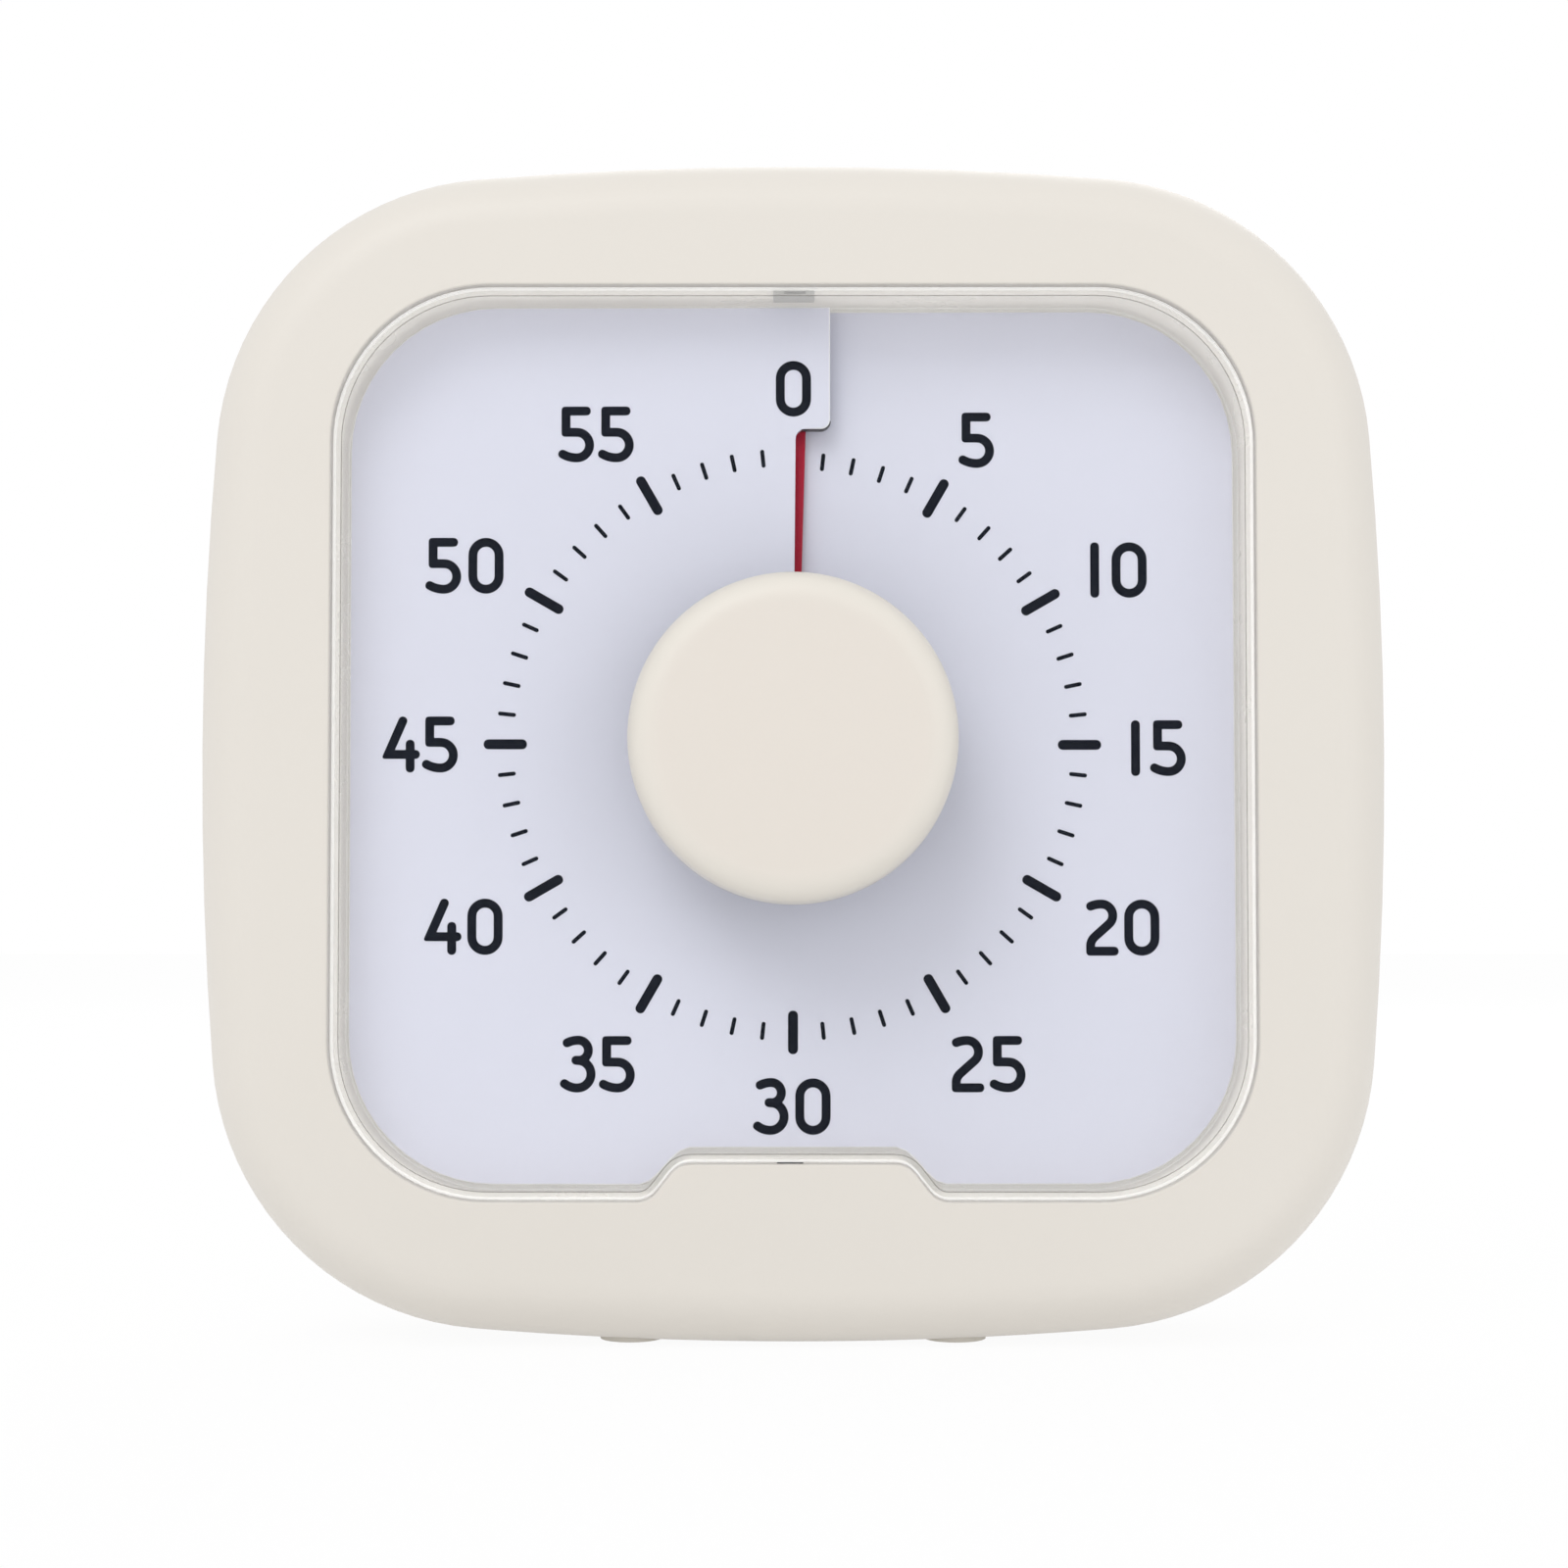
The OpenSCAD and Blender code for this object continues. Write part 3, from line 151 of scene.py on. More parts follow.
def to_edit(how="VERT"):
    bpy.ops.object.mode_set(mode="EDIT")
    bpy.ops.mesh.select_mode(type=how)


def to_object():
    bpy.ops.object.mode_set(mode="OBJECT")


FACING = 0.9


def pick(piece, kind, rule):
    """Selects the edges or the faces, as kind says, for which rule is true, in edit mode."""
    bpy.ops.mesh.select_all(action="DESELECT")
    for part in getattr(bmesh.from_edit_mesh(piece.data), kind):
        if rule(part):
            part.select_set(True)


def blank(name):
    """An empty mesh in edit mode, ready for the pen."""
    select_none()
    bpy.ops.mesh.primitive_plane_add(size=1)
    piece = bpy.context.object
    piece.name = piece.data.name = name
    to_edit()
    bpy.ops.mesh.delete(type="VERT")
    return piece


ENDS_MEET, HAIR = 0.02, 0.002


class Pen:
    """One point in the open mesh, and the lines and arcs that carry it along."""

    def __init__(self, x, y, z=0.0):
        bpy.ops.mesh.select_all(action="DESELECT")
        bpy.ops.mesh.primitive_plane_add(size=1, location=(x, y, z))
        bpy.ops.mesh.merge(type="CENTER")
        self.x, self.y = x, y

    def to(self, x, y, steps=1):
        """A straight line to a place, in equal steps."""
        move = ((x - self.x) / steps, (y - self.y) / steps, 0)
        for _ in range(steps):
            bpy.ops.mesh.extrude_region_move(TRANSFORM_OT_translate={"value": move})
        self.x, self.y = x, y
        return self

    def arc(self, cx, cy, clockwise, steps):
        """An arc round a centre, clockwise by so many degrees."""
        a = math.radians(clockwise)
        bpy.ops.mesh.spin(steps=steps, angle=a, center=(cx, cy, 0), axis=(0, 0, 1))
        x, y = self.x - cx, self.y - cy
        self.x = cx + x * math.cos(a) + y * math.sin(a)
        self.y = cy - x * math.sin(a) + y * math.cos(a)
        return self

    def close(self):
        """Makes one point of the line's two ends, which lie a rounding error apart."""
        bpy.ops.mesh.select_linked()
        bpy.ops.mesh.remove_doubles(threshold=ENDS_MEET)


class Stack:
    """Outlines drawn one after another, and the skin that joins each to the next.

    Two outlines in exactly one plane may be bridged crosswise, so they differ by a hair."""

    def __init__(self, name):
        self.piece, self.rows, self.z = blank(name), 0, None
        bmesh.from_edit_mesh(self.piece.data).verts.layers.int.new("row")

    def add(self, outline, size, z):
        """Draws one more outline and gives its points the number of its row."""
        self.z = z - HAIR if z == self.z else z
        outline(size, self.z)
        self.rows += 1
        mesh = bmesh.from_edit_mesh(self.piece.data)
        row = mesh.verts.layers.int["row"]
        for point in mesh.verts:
            if point.select:
                point[row] = self.rows

    def select(self, *rows):
        """Selects the outlines with these numbers."""
        row = bmesh.from_edit_mesh(self.piece.data).verts.layers.int["row"]
        pick(self.piece, "edges", lambda edge: any(
            all(point[row] == wanted for point in edge.verts) for wanted in rows))

    def skin(self, closed=False):
        """Bridges each outline to the next and, for a closed skin, the last to the first."""
        bpy.ops.mesh.select_mode(type="EDGE")
        for number in range(1, self.rows + closed):
            self.select(number, number % self.rows + 1)
            bpy.ops.mesh.bridge_edge_loops()
        return self.piece


def tidy_normals():
    bpy.ops.mesh.select_all(action="SELECT")
    bpy.ops.mesh.normals_make_consistent(inside=False)


def stand(piece, angle=35):
    """Scales a bench piece to metres, stands it up in front of the axis and smooths it."""
    alone(piece)
    piece.scale = (MM, MM, MM)
    piece.rotation_euler = (math.radians(90), 0, 0)
    piece.location = (0, FACE_Y, AXIS_Z)
    bpy.ops.object.transform_apply(location=True, rotation=True, scale=True)
    if angle:
        bpy.ops.object.shade_smooth_by_angle(angle=math.radians(angle))
    return piece


def modify(piece, kind, **settings):
    """Adds a modifier, sets it and applies it."""
    alone(piece)
    modifier = piece.modifiers.new(kind.title(), kind)
    for key, value in settings.items():
        setattr(modifier, key, value)
    bpy.ops.object.modifier_apply(modifier=modifier.name)
    return piece


def even_normals(piece):
    return modify(piece, "WEIGHTED_NORMAL", keep_sharp=True)


# %% [markdown]
# ## The two outlines
# The case is a square with bowed sides: four flat arcs of 630 mm radius run into four
# corner arcs. The window is a plain rounded square whose lower edge steps up over a bump.
# Both outlines can be drawn smaller or larger by one number, which keeps every wall even.

# %% Case outline
CASE_W, CASE_H, SIDE_R, CORNER_R = 190.0, 189.0, 630.0, 46.0
CASE_Y = -1.0
SIDE_STEPS, CORNER_STEPS, BOTTOM_STEPS = 4, 20, 24
top_c, right_c = CASE_H / 2 - SIDE_R, CASE_W / 2 - SIDE_R
half = math.hypot(right_c, top_c) / 2
reach = math.sqrt((SIDE_R - CORNER_R) ** 2 - half**2) / (2 * half)
corner_x = right_c / 2 - top_c * reach
corner_y = top_c / 2 - right_c * reach
top_turn = math.degrees(math.atan2(corner_x, corner_y - top_c))
right_turn = math.degrees(math.atan2(corner_y, corner_x - right_c))
corner_turn = 90 - top_turn - right_turn
print("corner arcs at", round(corner_x, 2), round(corner_y, 2), "turn", round(corner_turn, 2))


def case_outline(inset, z):
    y = CASE_Y
    pen = Pen(0, y + CASE_H / 2 - inset, z)
    pen.arc(0, y + top_c, top_turn, SIDE_STEPS)
    pen.arc(corner_x, y + corner_y, corner_turn, CORNER_STEPS)
    pen.arc(right_c, y, 2 * right_turn, 2 * SIDE_STEPS)
    pen.arc(corner_x, y - corner_y, corner_turn, CORNER_STEPS)
    pen.arc(0, y - top_c, 2 * top_turn, BOTTOM_STEPS)
    pen.arc(-corner_x, y - corner_y, corner_turn, CORNER_STEPS)
    pen.arc(-right_c, y, 2 * right_turn, 2 * SIDE_STEPS)
    pen.arc(-corner_x, y + corner_y, corner_turn, CORNER_STEPS)
    pen.arc(0, y + top_c, top_turn, SIDE_STEPS)
    pen.close()


# %% Window outline
WIN_W, WIN_H, WIN_R = 146.0, 144.5, 25.0
BUMP_TOP, BUMP_H, BUMP_R, BUMP_SLANT = 32.0, 5.9, 4.0, 52.0
BEND_STEPS, FLANK_STEPS = 4, 2
bump_sin, bump_cos = math.sin(math.radians(BUMP_SLANT)), math.cos(math.radians(BUMP_SLANT))
BUMP_RUN = (BUMP_H - 2 * BUMP_R * (1 - bump_cos)) / bump_sin
print("each flank of the bump is straight for", round(BUMP_RUN, 2), "mm")


def window_outline(grow, z):
    fx, fy = WIN_W / 2 - WIN_R, WIN_H / 2 - WIN_R
    low = -WIN_H / 2 - grow
    base = BUMP_TOP / 2 + 2 * BUMP_R * bump_sin + BUMP_RUN * bump_cos
    wide, tight = BUMP_R + grow, BUMP_R - grow
    pen = Pen(0, WIN_H / 2 + grow, z)
    pen.to(fx, pen.y, SIDE_STEPS).arc(fx, fy, 90, CORNER_STEPS)
    pen.to(pen.x, -fy, 2 * SIDE_STEPS).arc(fx, -fy, 90, CORNER_STEPS)
    pen.to(base, low).arc(base, low + wide, BUMP_SLANT, BEND_STEPS)
    pen.to(pen.x - BUMP_RUN * bump_cos, pen.y + BUMP_RUN * bump_sin, FLANK_STEPS)
    pen.arc(pen.x - tight * bump_sin, pen.y - tight * bump_cos, -BUMP_SLANT, BEND_STEPS)
    pen.to(-pen.x, pen.y, FLANK_STEPS)
    pen.arc(pen.x, pen.y - tight, -BUMP_SLANT, BEND_STEPS)
    pen.to(pen.x - BUMP_RUN * bump_cos, pen.y - BUMP_RUN * bump_sin, FLANK_STEPS)
    pen.arc(pen.x - wide * bump_sin, pen.y + wide * bump_cos, BUMP_SLANT, BEND_STEPS)
    pen.to(-fx, low).arc(-fx, -fy, 90, CORNER_STEPS)
    pen.to(pen.x, fy, 2 * SIDE_STEPS).arc(-fx, fy, 90, CORNER_STEPS)
    pen.to(0, WIN_H / 2 + grow, SIDE_STEPS)
    pen.close()


# %% [markdown]
# ## The front frame
# The front half is one hollow moulding: a wide flat border that rolls over an elliptical
# edge into the side wall, and a small round at the window before the wall drops inside.
# The whole skin is a stack of outlines, outside then inside, bridged one to the next. Two
# extra outlines on the flat border keep it truly flat when the shading is smoothed.

# %% Front frame
EDGE_W, EDGE_D, WALL, RIM_R, FRONT_D = 9.0, 12.0, 2.5, 0.4, 23.0
SEAM_BREAK, FLAT_MARGIN, DROP_LOW, DROP_WALL = 0.35, 0.8, -18.6, 2.0
EDGE_STEPS, RIM_STEPS, INSIDE_STEPS = 10, 5, 5


def quarter(steps):
    """The angles from 0 to 90 degrees in equal steps, in radians."""
    return [math.radians(90 * i / steps) for i in range(steps + 1)]


stack = Stack("front_frame_skin")
for inset, z in [(SEAM_BREAK, -FRONT_D), (0, -FRONT_D + SEAM_BREAK)]:
    stack.add(case_outline, inset, z)
for a in quarter(EDGE_STEPS):
    stack.add(case_outline, EDGE_W * (1 - math.cos(a)), -EDGE_D * (1 - math.sin(a)))
stack.add(case_outline, EDGE_W + FLAT_MARGIN, 0)
stack.add(window_outline, RIM_R + FLAT_MARGIN, 0)
for a in quarter(RIM_STEPS):
    stack.add(window_outline, RIM_R * (1 - math.sin(a)), -RIM_R * (1 - math.cos(a)))
for grow, z in [(0, DROP_LOW), (DROP_WALL, DROP_LOW), (DROP_WALL, -WALL)]:
    stack.add(window_outline, grow, z)
for a in reversed(quarter(INSIDE_STEPS)):
    stack.add(case_outline, WALL + (EDGE_W - WALL / 2) * (1 - math.cos(a)),
              -WALL - (EDGE_D - WALL) * (1 - math.sin(a)))
stack.add(case_outline, WALL, -FRONT_D)
front = stack.skin(closed=True)
tidy_normals()
to_object()
print("front frame:", stack.rows, "outlines,", len(front.data.polygons), "faces")

# %% [markdown]
# The screw bosses and the posts for the dial plate stand behind the border, out of sight.
# Each is a plain tube: the end of a cylinder is inset and its middle pushed in to bore it.


# %% Bosses and posts of the front frame
BORED = 0.8


def tube(name, x, y, radius, bore, low, high, sides=32):
    """A bar from z = low to high, bored from its low end for most of its length."""
    select_none()
    bpy.ops.mesh.primitive_cylinder_add(
        vertices=sides, radius=radius, depth=high - low, location=(x, y, (low + high) / 2))
    piece = bpy.context.object
    piece.name = name
    to_edit("FACE")
    pick(piece, "faces", lambda face: face.normal.z < -FACING)
    bpy.ops.mesh.inset(thickness=radius - bore)
    bpy.ops.mesh.extrude_region_move(
        TRANSFORM_OT_translate={"value": (0, 0, BORED * (high - low))})
    to_object()
    return piece


def join(pieces):
    """Makes one object of several, under the name of the first."""
    alone(pieces[0])
    for piece in pieces[1:]:
        piece.select_set(True)
    bpy.ops.object.join()
    return pieces[0]


BOSS_X, BOSS_Y, BOSS_R, BOSS_BORE, BOSS_LOW = 69.75, 69.2, 3.8, 1.6, -18.0
POST_X, POST_Y, POST_R, POST_BORE, POST_LOW = 82.0, 40.0, 3.4, 1.3, -20.4
UNDER_FACE = -1.2
inner = [front]
for sx in (-1, 1):
    for sy in (-1, 1):
        inner.append(tube("boss", sx * BOSS_X, sy * BOSS_Y + CASE_Y,
                          BOSS_R, BOSS_BORE, BOSS_LOW, UNDER_FACE))
        inner.append(tube("post", sx * POST_X, sy * POST_Y,
                          POST_R, POST_BORE, POST_LOW, UNDER_FACE))
front = stand(join(inner))
even_normals(front)
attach(front, "case")
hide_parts("front_frame")
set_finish(front, "case_cream")
print("front frame with bosses:", len(front.data.polygons), "faces")

# %% [markdown]
# ## The knob
# The knob is turned, so half of its profile is drawn once and spun round the axis: a face
# with a hint of crown, a soft 4.5 mm round, a side that drafts outwards, and a rolled foot.
# The hollow behind and the neck with its bore belong to the same profile. The six ribs that
# the CAD part has inside that hollow show from nowhere, so this skin leaves them out.


# %% Knob
def lathe(piece, steps):
    """Spins the open profile about the bench's y axis and turns that axis to face the viewer."""
    bpy.ops.mesh.select_all(action="SELECT")
    bpy.ops.mesh.spin(steps=steps, angle=math.tau, center=(0, 0, 0), axis=(0, 1, 0))
    bpy.ops.mesh.select_all(action="SELECT")
    bpy.ops.mesh.remove_doubles(threshold=HAIR)
    tidy_normals()
    to_object()
    alone(piece)
    piece.rotation_euler = (math.radians(90), 0, 0)
    bpy.ops.object.transform_apply(rotation=True)
    return piece


KNOB_R = (KNOB_HIGH.x - KNOB_LOW.x) / 2 / MM
KNOB_FRONT, NECK_END = face_z(KNOB_LOW.y), face_z(KNOB_HIGH.y)
KNOB_BACK, KNOB_EDGE, KNOB_WALL, DRAFT, NECK_R = 0.4, 4.5, 2.0, 0.3, 6.2
CROWN, RING_W, RING_DROP, LID_T = 0.03, 1.5, 0.02, 0.5
FOOT_R, LIP_R, ROOT_R, NECK_ROUND = 0.6, 0.3, 0.6, 0.4
BORE_R, BORE_ROOF, TURN_STEPS = 3.05, 2.3, 160
knob = blank("knob_skin")
side = KNOB_R - DRAFT
pen = Pen(0, KNOB_FRONT)
pen.to(side - KNOB_EDGE - RING_W, KNOB_FRONT - RING_DROP, 6)
pen.to(side - KNOB_EDGE, KNOB_FRONT - CROWN)
pen.arc(side - KNOB_EDGE, KNOB_FRONT - KNOB_EDGE - CROWN, 86, 14)
pen.to(KNOB_R, KNOB_BACK + FOOT_R, 3)
pen.arc(KNOB_R - FOOT_R, KNOB_BACK + FOOT_R, 90, 5)
lip = KNOB_R - KNOB_WALL + LIP_R
pen.to(lip, KNOB_BACK).arc(lip, KNOB_BACK + LIP_R, 90, 3)
bend = KNOB_FRONT - KNOB_EDGE - LID_T
pen.to(pen.x, bend, 3).arc(pen.x - KNOB_EDGE + KNOB_WALL, bend, -90, 6)
pen.to(NECK_R + ROOT_R, pen.y, 2).arc(NECK_R + ROOT_R, pen.y - ROOT_R, -90, 3)
pen.to(NECK_R, NECK_END + NECK_ROUND, 3).arc(NECK_R - NECK_ROUND, NECK_END + NECK_ROUND, 90, 3)
pen.to(BORE_R, pen.y).to(BORE_R, KNOB_FRONT - BORE_ROOF, 2).to(0, KNOB_FRONT - BORE_ROOF, 2)
knob = stand(lathe(knob, TURN_STEPS), 40)
even_normals(knob)
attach(knob, "knob_set")
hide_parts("knob")
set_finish(knob, "knob_cream")
print("knob:", len(knob.data.polygons), "faces, radius", round(KNOB_R, 2), "mm")

# %% [markdown]
# ## The clear cover
# The cover is one moulding of clear plastic: a flat front a millimetre behind the rim, a
# wall that drops round the dial, and a flange that is held behind the frame. The front is a
# closed shell with a real thickness, because light bends at each of its faces, and a round
# hole in its middle lets the neck of the knob through. The wall is looked at almost edge on,
# where such plastic turns milky, so it is a shell of its own with a second finish.

# %% Front of the clear cover
LENS_FRONT, LENS_T, LENS_FIT, LENS_WALL, LENS_EDGE = -1.0, 1.6, 0.2, 1.0, 0.4
LENS_BACK = LENS_FRONT - LENS_T
LENS_MARGIN, LENS_STEPS, HOLE_R = 0.6, 3, 6.7
RING_POINTS = 4 * CORNER_STEPS + 6 * SIDE_STEPS + BOTTOM_STEPS


def hole_outline(radius, z):
    """A circle with as many points as the window has, so that the two can be bridged."""
    Pen(0, radius, z).arc(0, 0, 360, RING_POINTS).close()


stack = Stack("clear_cover_front")
stack.add(hole_outline, HOLE_R, LENS_FRONT)
stack.add(window_outline, -LENS_FIT - LENS_EDGE - LENS_MARGIN, LENS_FRONT)
for a in quarter(LENS_STEPS):
    stack.add(window_outline, -LENS_FIT - LENS_EDGE * (1 - math.sin(a)),
              LENS_FRONT - LENS_EDGE * (1 - math.cos(a)))
stack.add(window_outline, -LENS_FIT, LENS_BACK)
stack.add(window_outline, -LENS_FIT - LENS_EDGE - LENS_MARGIN, LENS_BACK)
stack.add(hole_outline, HOLE_R, LENS_BACK)
cover = stack.skin(closed=True)
tidy_normals()
to_object()
stand(cover, 25)
even_normals(cover)
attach(cover, "case")
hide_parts("clear_cover")
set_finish(cover, "clear_plastic")
print("clear front:", len(cover.data.polygons), "faces")

# %% Wall and flange of the clear cover
COVER_BACK = face_z(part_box("clear_cover")[1].y)
DIAL_FIT, LINE_OUT, LINE_IN, FLANGE_T, FLANGE_OUT, AIR = 0.25, 0.35, 0.18, 1.5, 2.2, 0.01
wall_out, wall_in, wall_top = -LENS_FIT, -LENS_FIT - LENS_WALL, LENS_BACK - AIR
near_dial = wall_in - DIAL_FIT + 2 * AIR
stack = Stack("clear_cover_wall")
for grow, z in [(near_dial, wall_top), (near_dial + LINE_IN, wall_top),
                (wall_out - LINE_OUT, wall_top), (wall_out, wall_top),
                (wall_out, COVER_BACK + FLANGE_T), (FLANGE_OUT, COVER_BACK + FLANGE_T),
                (FLANGE_OUT, COVER_BACK), (near_dial, COVER_BACK)]:
    stack.add(window_outline, grow, z)
cover_wall = stack.skin(closed=True)
tidy_normals()
to_object()
stand(cover_wall, 25)
even_normals(cover_wall)
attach(cover_wall, "case")
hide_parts("clear_cover")
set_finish(cover_wall, "clear_plastic")
print("clear wall:", len(cover_wall.data.polygons), "faces")

# %% [markdown]
# ## The dial and the red sheet
# The dial is the trick of this timer. It is a ramp that climbs 4 mm in one turn, so that at
# the top its end lies over its start, and the red sheet, a spiral of the same pitch, comes
# up through the slit between them. The ramp's shape is right in the CAD part, so a copy of
# it is cleaned: loose triangles are merged, flat ones dissolved, and its shading smoothed.
# The sheet is made here with the Screw modifier, which lifts an edge as it turns it.


# %% Copies of CAD parts, cleaned
SAME_POINT, SAME_PLANE, EDGE_DEG, SEAM_HALF, SIDEWAYS = 2e-6, 0.4, 40, 3.0, 0.3


def is_rim(edge):
    """True between a face towards the viewer and a wall, but not along the dial's seam."""
    toward = sorted(face.normal.y for face in edge.link_faces)
    if len(toward) != 2 or all(abs(point.co.x) < SEAM_HALF * MM for point in edge.verts):
        return False
    outward = edge.calc_face_angle_signed(0) > math.radians(EDGE_DEG)
    return outward and toward[0] < -FACING and abs(toward[1]) < SIDEWAYS


def break_rim(piece, width):
    """Takes off the edges round the front, as faces of a second slot.

    The seam in the middle, where the ramp's end covers its start, keeps its sharp edge."""
    piece.data.materials.append(piece.data.materials[0])
    bpy.ops.mesh.select_mode(type="EDGE")
    pick(piece, "edges", is_rim)
    bpy.ops.mesh.bevel(offset=width * MM, segments=1, affect="EDGES", clamp_overlap=False,
                       material=1)


def cleaned(node, name, body, slot, bevel=0.0, angle=35, rim=0.0, within=None):
    """A copy of a CAD node with merged points, flat faces and, if asked, broken edges.

    Where within is given, only what lies inside that solid is kept."""
    piece = bpy.data.objects.new(name, nodes[node].data.copy())
    piece.data.name = name
    scene.collection.objects.link(piece)
    alone(piece)
    to_edit()
    bpy.ops.mesh.select_all(action="SELECT")
    bpy.ops.mesh.remove_doubles(threshold=SAME_POINT)
    bpy.ops.mesh.dissolve_limited(angle_limit=math.radians(SAME_PLANE))
    if rim:
        break_rim(piece, rim)
    to_object()
    if within:
        modify(piece, "BOOLEAN", operation="INTERSECT", solver="EXACT", object=within)
        to_edit()
        bpy.ops.mesh.select_all(action="SELECT")
        bpy.ops.mesh.fill_holes(sides=4)
        to_object()
    if bevel:
        modify(piece, "BEVEL", width=bevel * MM, segments=2, limit_method="ANGLE",
               angle_limit=math.radians(EDGE_DEG), use_clamp_overlap=True)
    bpy.ops.object.shade_smooth_by_angle(angle=math.radians(angle))
    even_normals(piece)
    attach(piece, body)
    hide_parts(node)
    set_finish(piece, slot)
    print(name, len(piece.data.polygons), "faces")
    return piece


# The dial's broken rim is given a paler white of its own: a painted highlight along its edge.
dial = cleaned("dial", "dial_ramp", "case", "dial_white", rim=0.18)
highlight_rim = [face.area / MM**2 for face in dial.data.polygons if face.material_index == 1]
print("bare edge of the dial:", len(highlight_rim), "faces,", round(sum(highlight_rim), 1), "mm2")

# %% Red sheet
PITCH, DIAL_LOW, SHEET_T, GAP_OVER = 4.0, -15.0, 0.4, 1.0
LEAD_DEG, SHEET_SWEEP, SHEET_STEPS = 2.4, 356.0, 180
INNER_END, OUTER_END = (0.88, 9.11), (2.07, 51.15)
sheet = blank("red_sheet_spiral")
lift = DIAL_LOW + GAP_OVER + PITCH * LEAD_DEG / 360
Pen(*INNER_END, lift).to(*OUTER_END, 6)
to_object()
modify(sheet, "SCREW", angle=math.radians(SHEET_SWEEP), axis="Z", steps=SHEET_STEPS,
       render_steps=SHEET_STEPS, screw_offset=-PITCH * SHEET_SWEEP / 360, use_smooth_shade=True)
alone(sheet)
to_edit("FACE")
bpy.ops.mesh.select_all(action="SELECT")
bpy.ops.mesh.normals_make_consistent(inside=False)
mesh = bmesh.from_edit_mesh(sheet.data)
if sum(face.normal.z for face in mesh.faces) < 0:
    bpy.ops.mesh.flip_normals()
to_object()
modify(sheet, "SOLIDIFY", thickness=SHEET_T, offset=1)
stand(sheet, 40)
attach(sheet, "sheet_set")
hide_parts("red_sheet")
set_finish(sheet, "red_sheet")
print("red sheet:", len(sheet.data.polygons), "faces")

# %% [markdown]
# ## The printed scale
# Fifty-nine strokes and twelve numbers are printed on the dial. The figures have even, round
# ended strokes, so each is drawn as one thin line with the pen, raised into a ribbon and
# given its width by Solidify; a bevel then rounds its ends, and a second one the outside of
# its corners. The 3 and the 4 are two lines each, joined by a Boolean. A font would be
# quicker, but these plain drawn figures match the width and spacing wanted. The places in
# each drawing are millimetres from the middle of the figure's foot. Last, the flat print is
# laid on the ramp with Shrinkwrap and given a film's thickness.

# %% A stroke of the pen
STROKE, RIBBON_H, TINY = 1.44, 0.5, 0.01
END_ROUND, CORNER_ROUND, CORNER_MIN = 0.49, 0.4, math.radians(50)


def upright(edge):
    a, b = edge.verts
    return abs(a.co.x - b.co.x) + abs(a.co.y - b.co.y) < 1e-4


def ribbon(name, draw, width=STROKE):
    """A flat stroke of even width with round ends along the line that draw() makes."""
    piece = blank(name)
    draw()
    bpy.ops.mesh.select_all(action="SELECT")
    bpy.ops.mesh.extrude_region_move(TRANSFORM_OT_translate={"value": (0, 0, RIBBON_H)})
    bpy.ops.mesh.select_all(action="SELECT")
    bpy.ops.mesh.remove_doubles(threshold=TINY)
    to_object()
    modify(piece, "SOLIDIFY", thickness=width, offset=0, use_even_offset=True)
    to_edit("EDGE")
    bpy.ops.mesh.select_all(action="DESELECT")
    mesh = bmesh.from_edit_mesh(piece.data)
    sharp = {edge for edge in mesh.edges
             if upright(edge) and edge.calc_face_angle(0) > CORNER_MIN}
    bpy.ops.mesh.select_mode(type="FACE")
    ends = set()
    for face in mesh.faces:
        corners = [edge for edge in face.edges if edge in sharp]
        flat = [edge for edge in face.edges if edge not in sharp]
        if len(corners) == 2 and abs(flat[0].calc_length() - width) < TINY:
            ends.update(corners)
            face.select_set(True)
    bpy.ops.transform.shrink_fatten(value=width / 2)
    bpy.ops.mesh.select_mode(type="EDGE")
    bpy.ops.mesh.select_all(action="DESELECT")
    for edge in ends:
        edge.select_set(True)
    bpy.ops.mesh.bevel(offset=width * END_ROUND, segments=6, affect="EDGES", clamp_overlap=True)
    pick(piece, "edges",
         lambda edge: upright(edge) and edge.calc_face_angle_signed(0) > CORNER_MIN)
    bpy.ops.mesh.bevel(offset=width * CORNER_ROUND, segments=4, affect="EDGES",
                       clamp_overlap=True)
    to_object()
    return piece


def keep_top(piece):
    """Leaves only the faces that look up, one flat sheet of ink."""
    alone(piece)
    to_edit("FACE")
    pick(piece, "faces", lambda face: face.normal.z < FACING)
    bpy.ops.mesh.delete(type="FACE")
    to_object()
    return piece


# %% The six figures
FIGURE_H = 7.6


def figure_0():
    r = 2.12
    top = FIGURE_H - r
    Pen(-r, r).to(-r, top, 3).arc(0, top, 180, 16).to(r, r, 3).arc(0, r, 180, 16).close()


def figure_1():
    Pen(0, 0).to(0, FIGURE_H, 5)


def figure_2():
    pen = Pen(-1.92, 7.26).arc(-0.2, 3.08, 22.4, 4).arc(-0.2, 5.75, 138, 14)
    pen.to(-1.31, 2.29, 3).arc(-0.04, 0.86, -48, 5).to(-1.94, 0).to(1.85, 0, 2)


def figure_3_top():
    Pen(-1.78, 7.25).arc(0.0, 3.69, 26.6, 4).arc(0.0, 6.03, 180, 14).to(-0.35, 4.45)


def figure_3_low():
    Pen(-0.35, 4.45).to(-0.15, 4.45).arc(-0.15, 2.225, 180, 16).arc(-0.15, 3.35, 37.7, 6)


def figure_4_side():
    Pen(0.15, FIGURE_H).to(-2.2, 2.2, 2).to(2.2, 2.2, 2)


def figure_4_post():
    Pen(1.35, 3.85).to(1.35, 0, 4)


def figure_5():
    pen = Pen(1.65, FIGURE_H).to(-1.65, FIGURE_H, 2).to(-1.65, 4.15, 2).to(0.1, 4.15)
    pen.arc(0.1, 2.075, 180, 16).arc(0.1, 4.59, 29.6, 5)


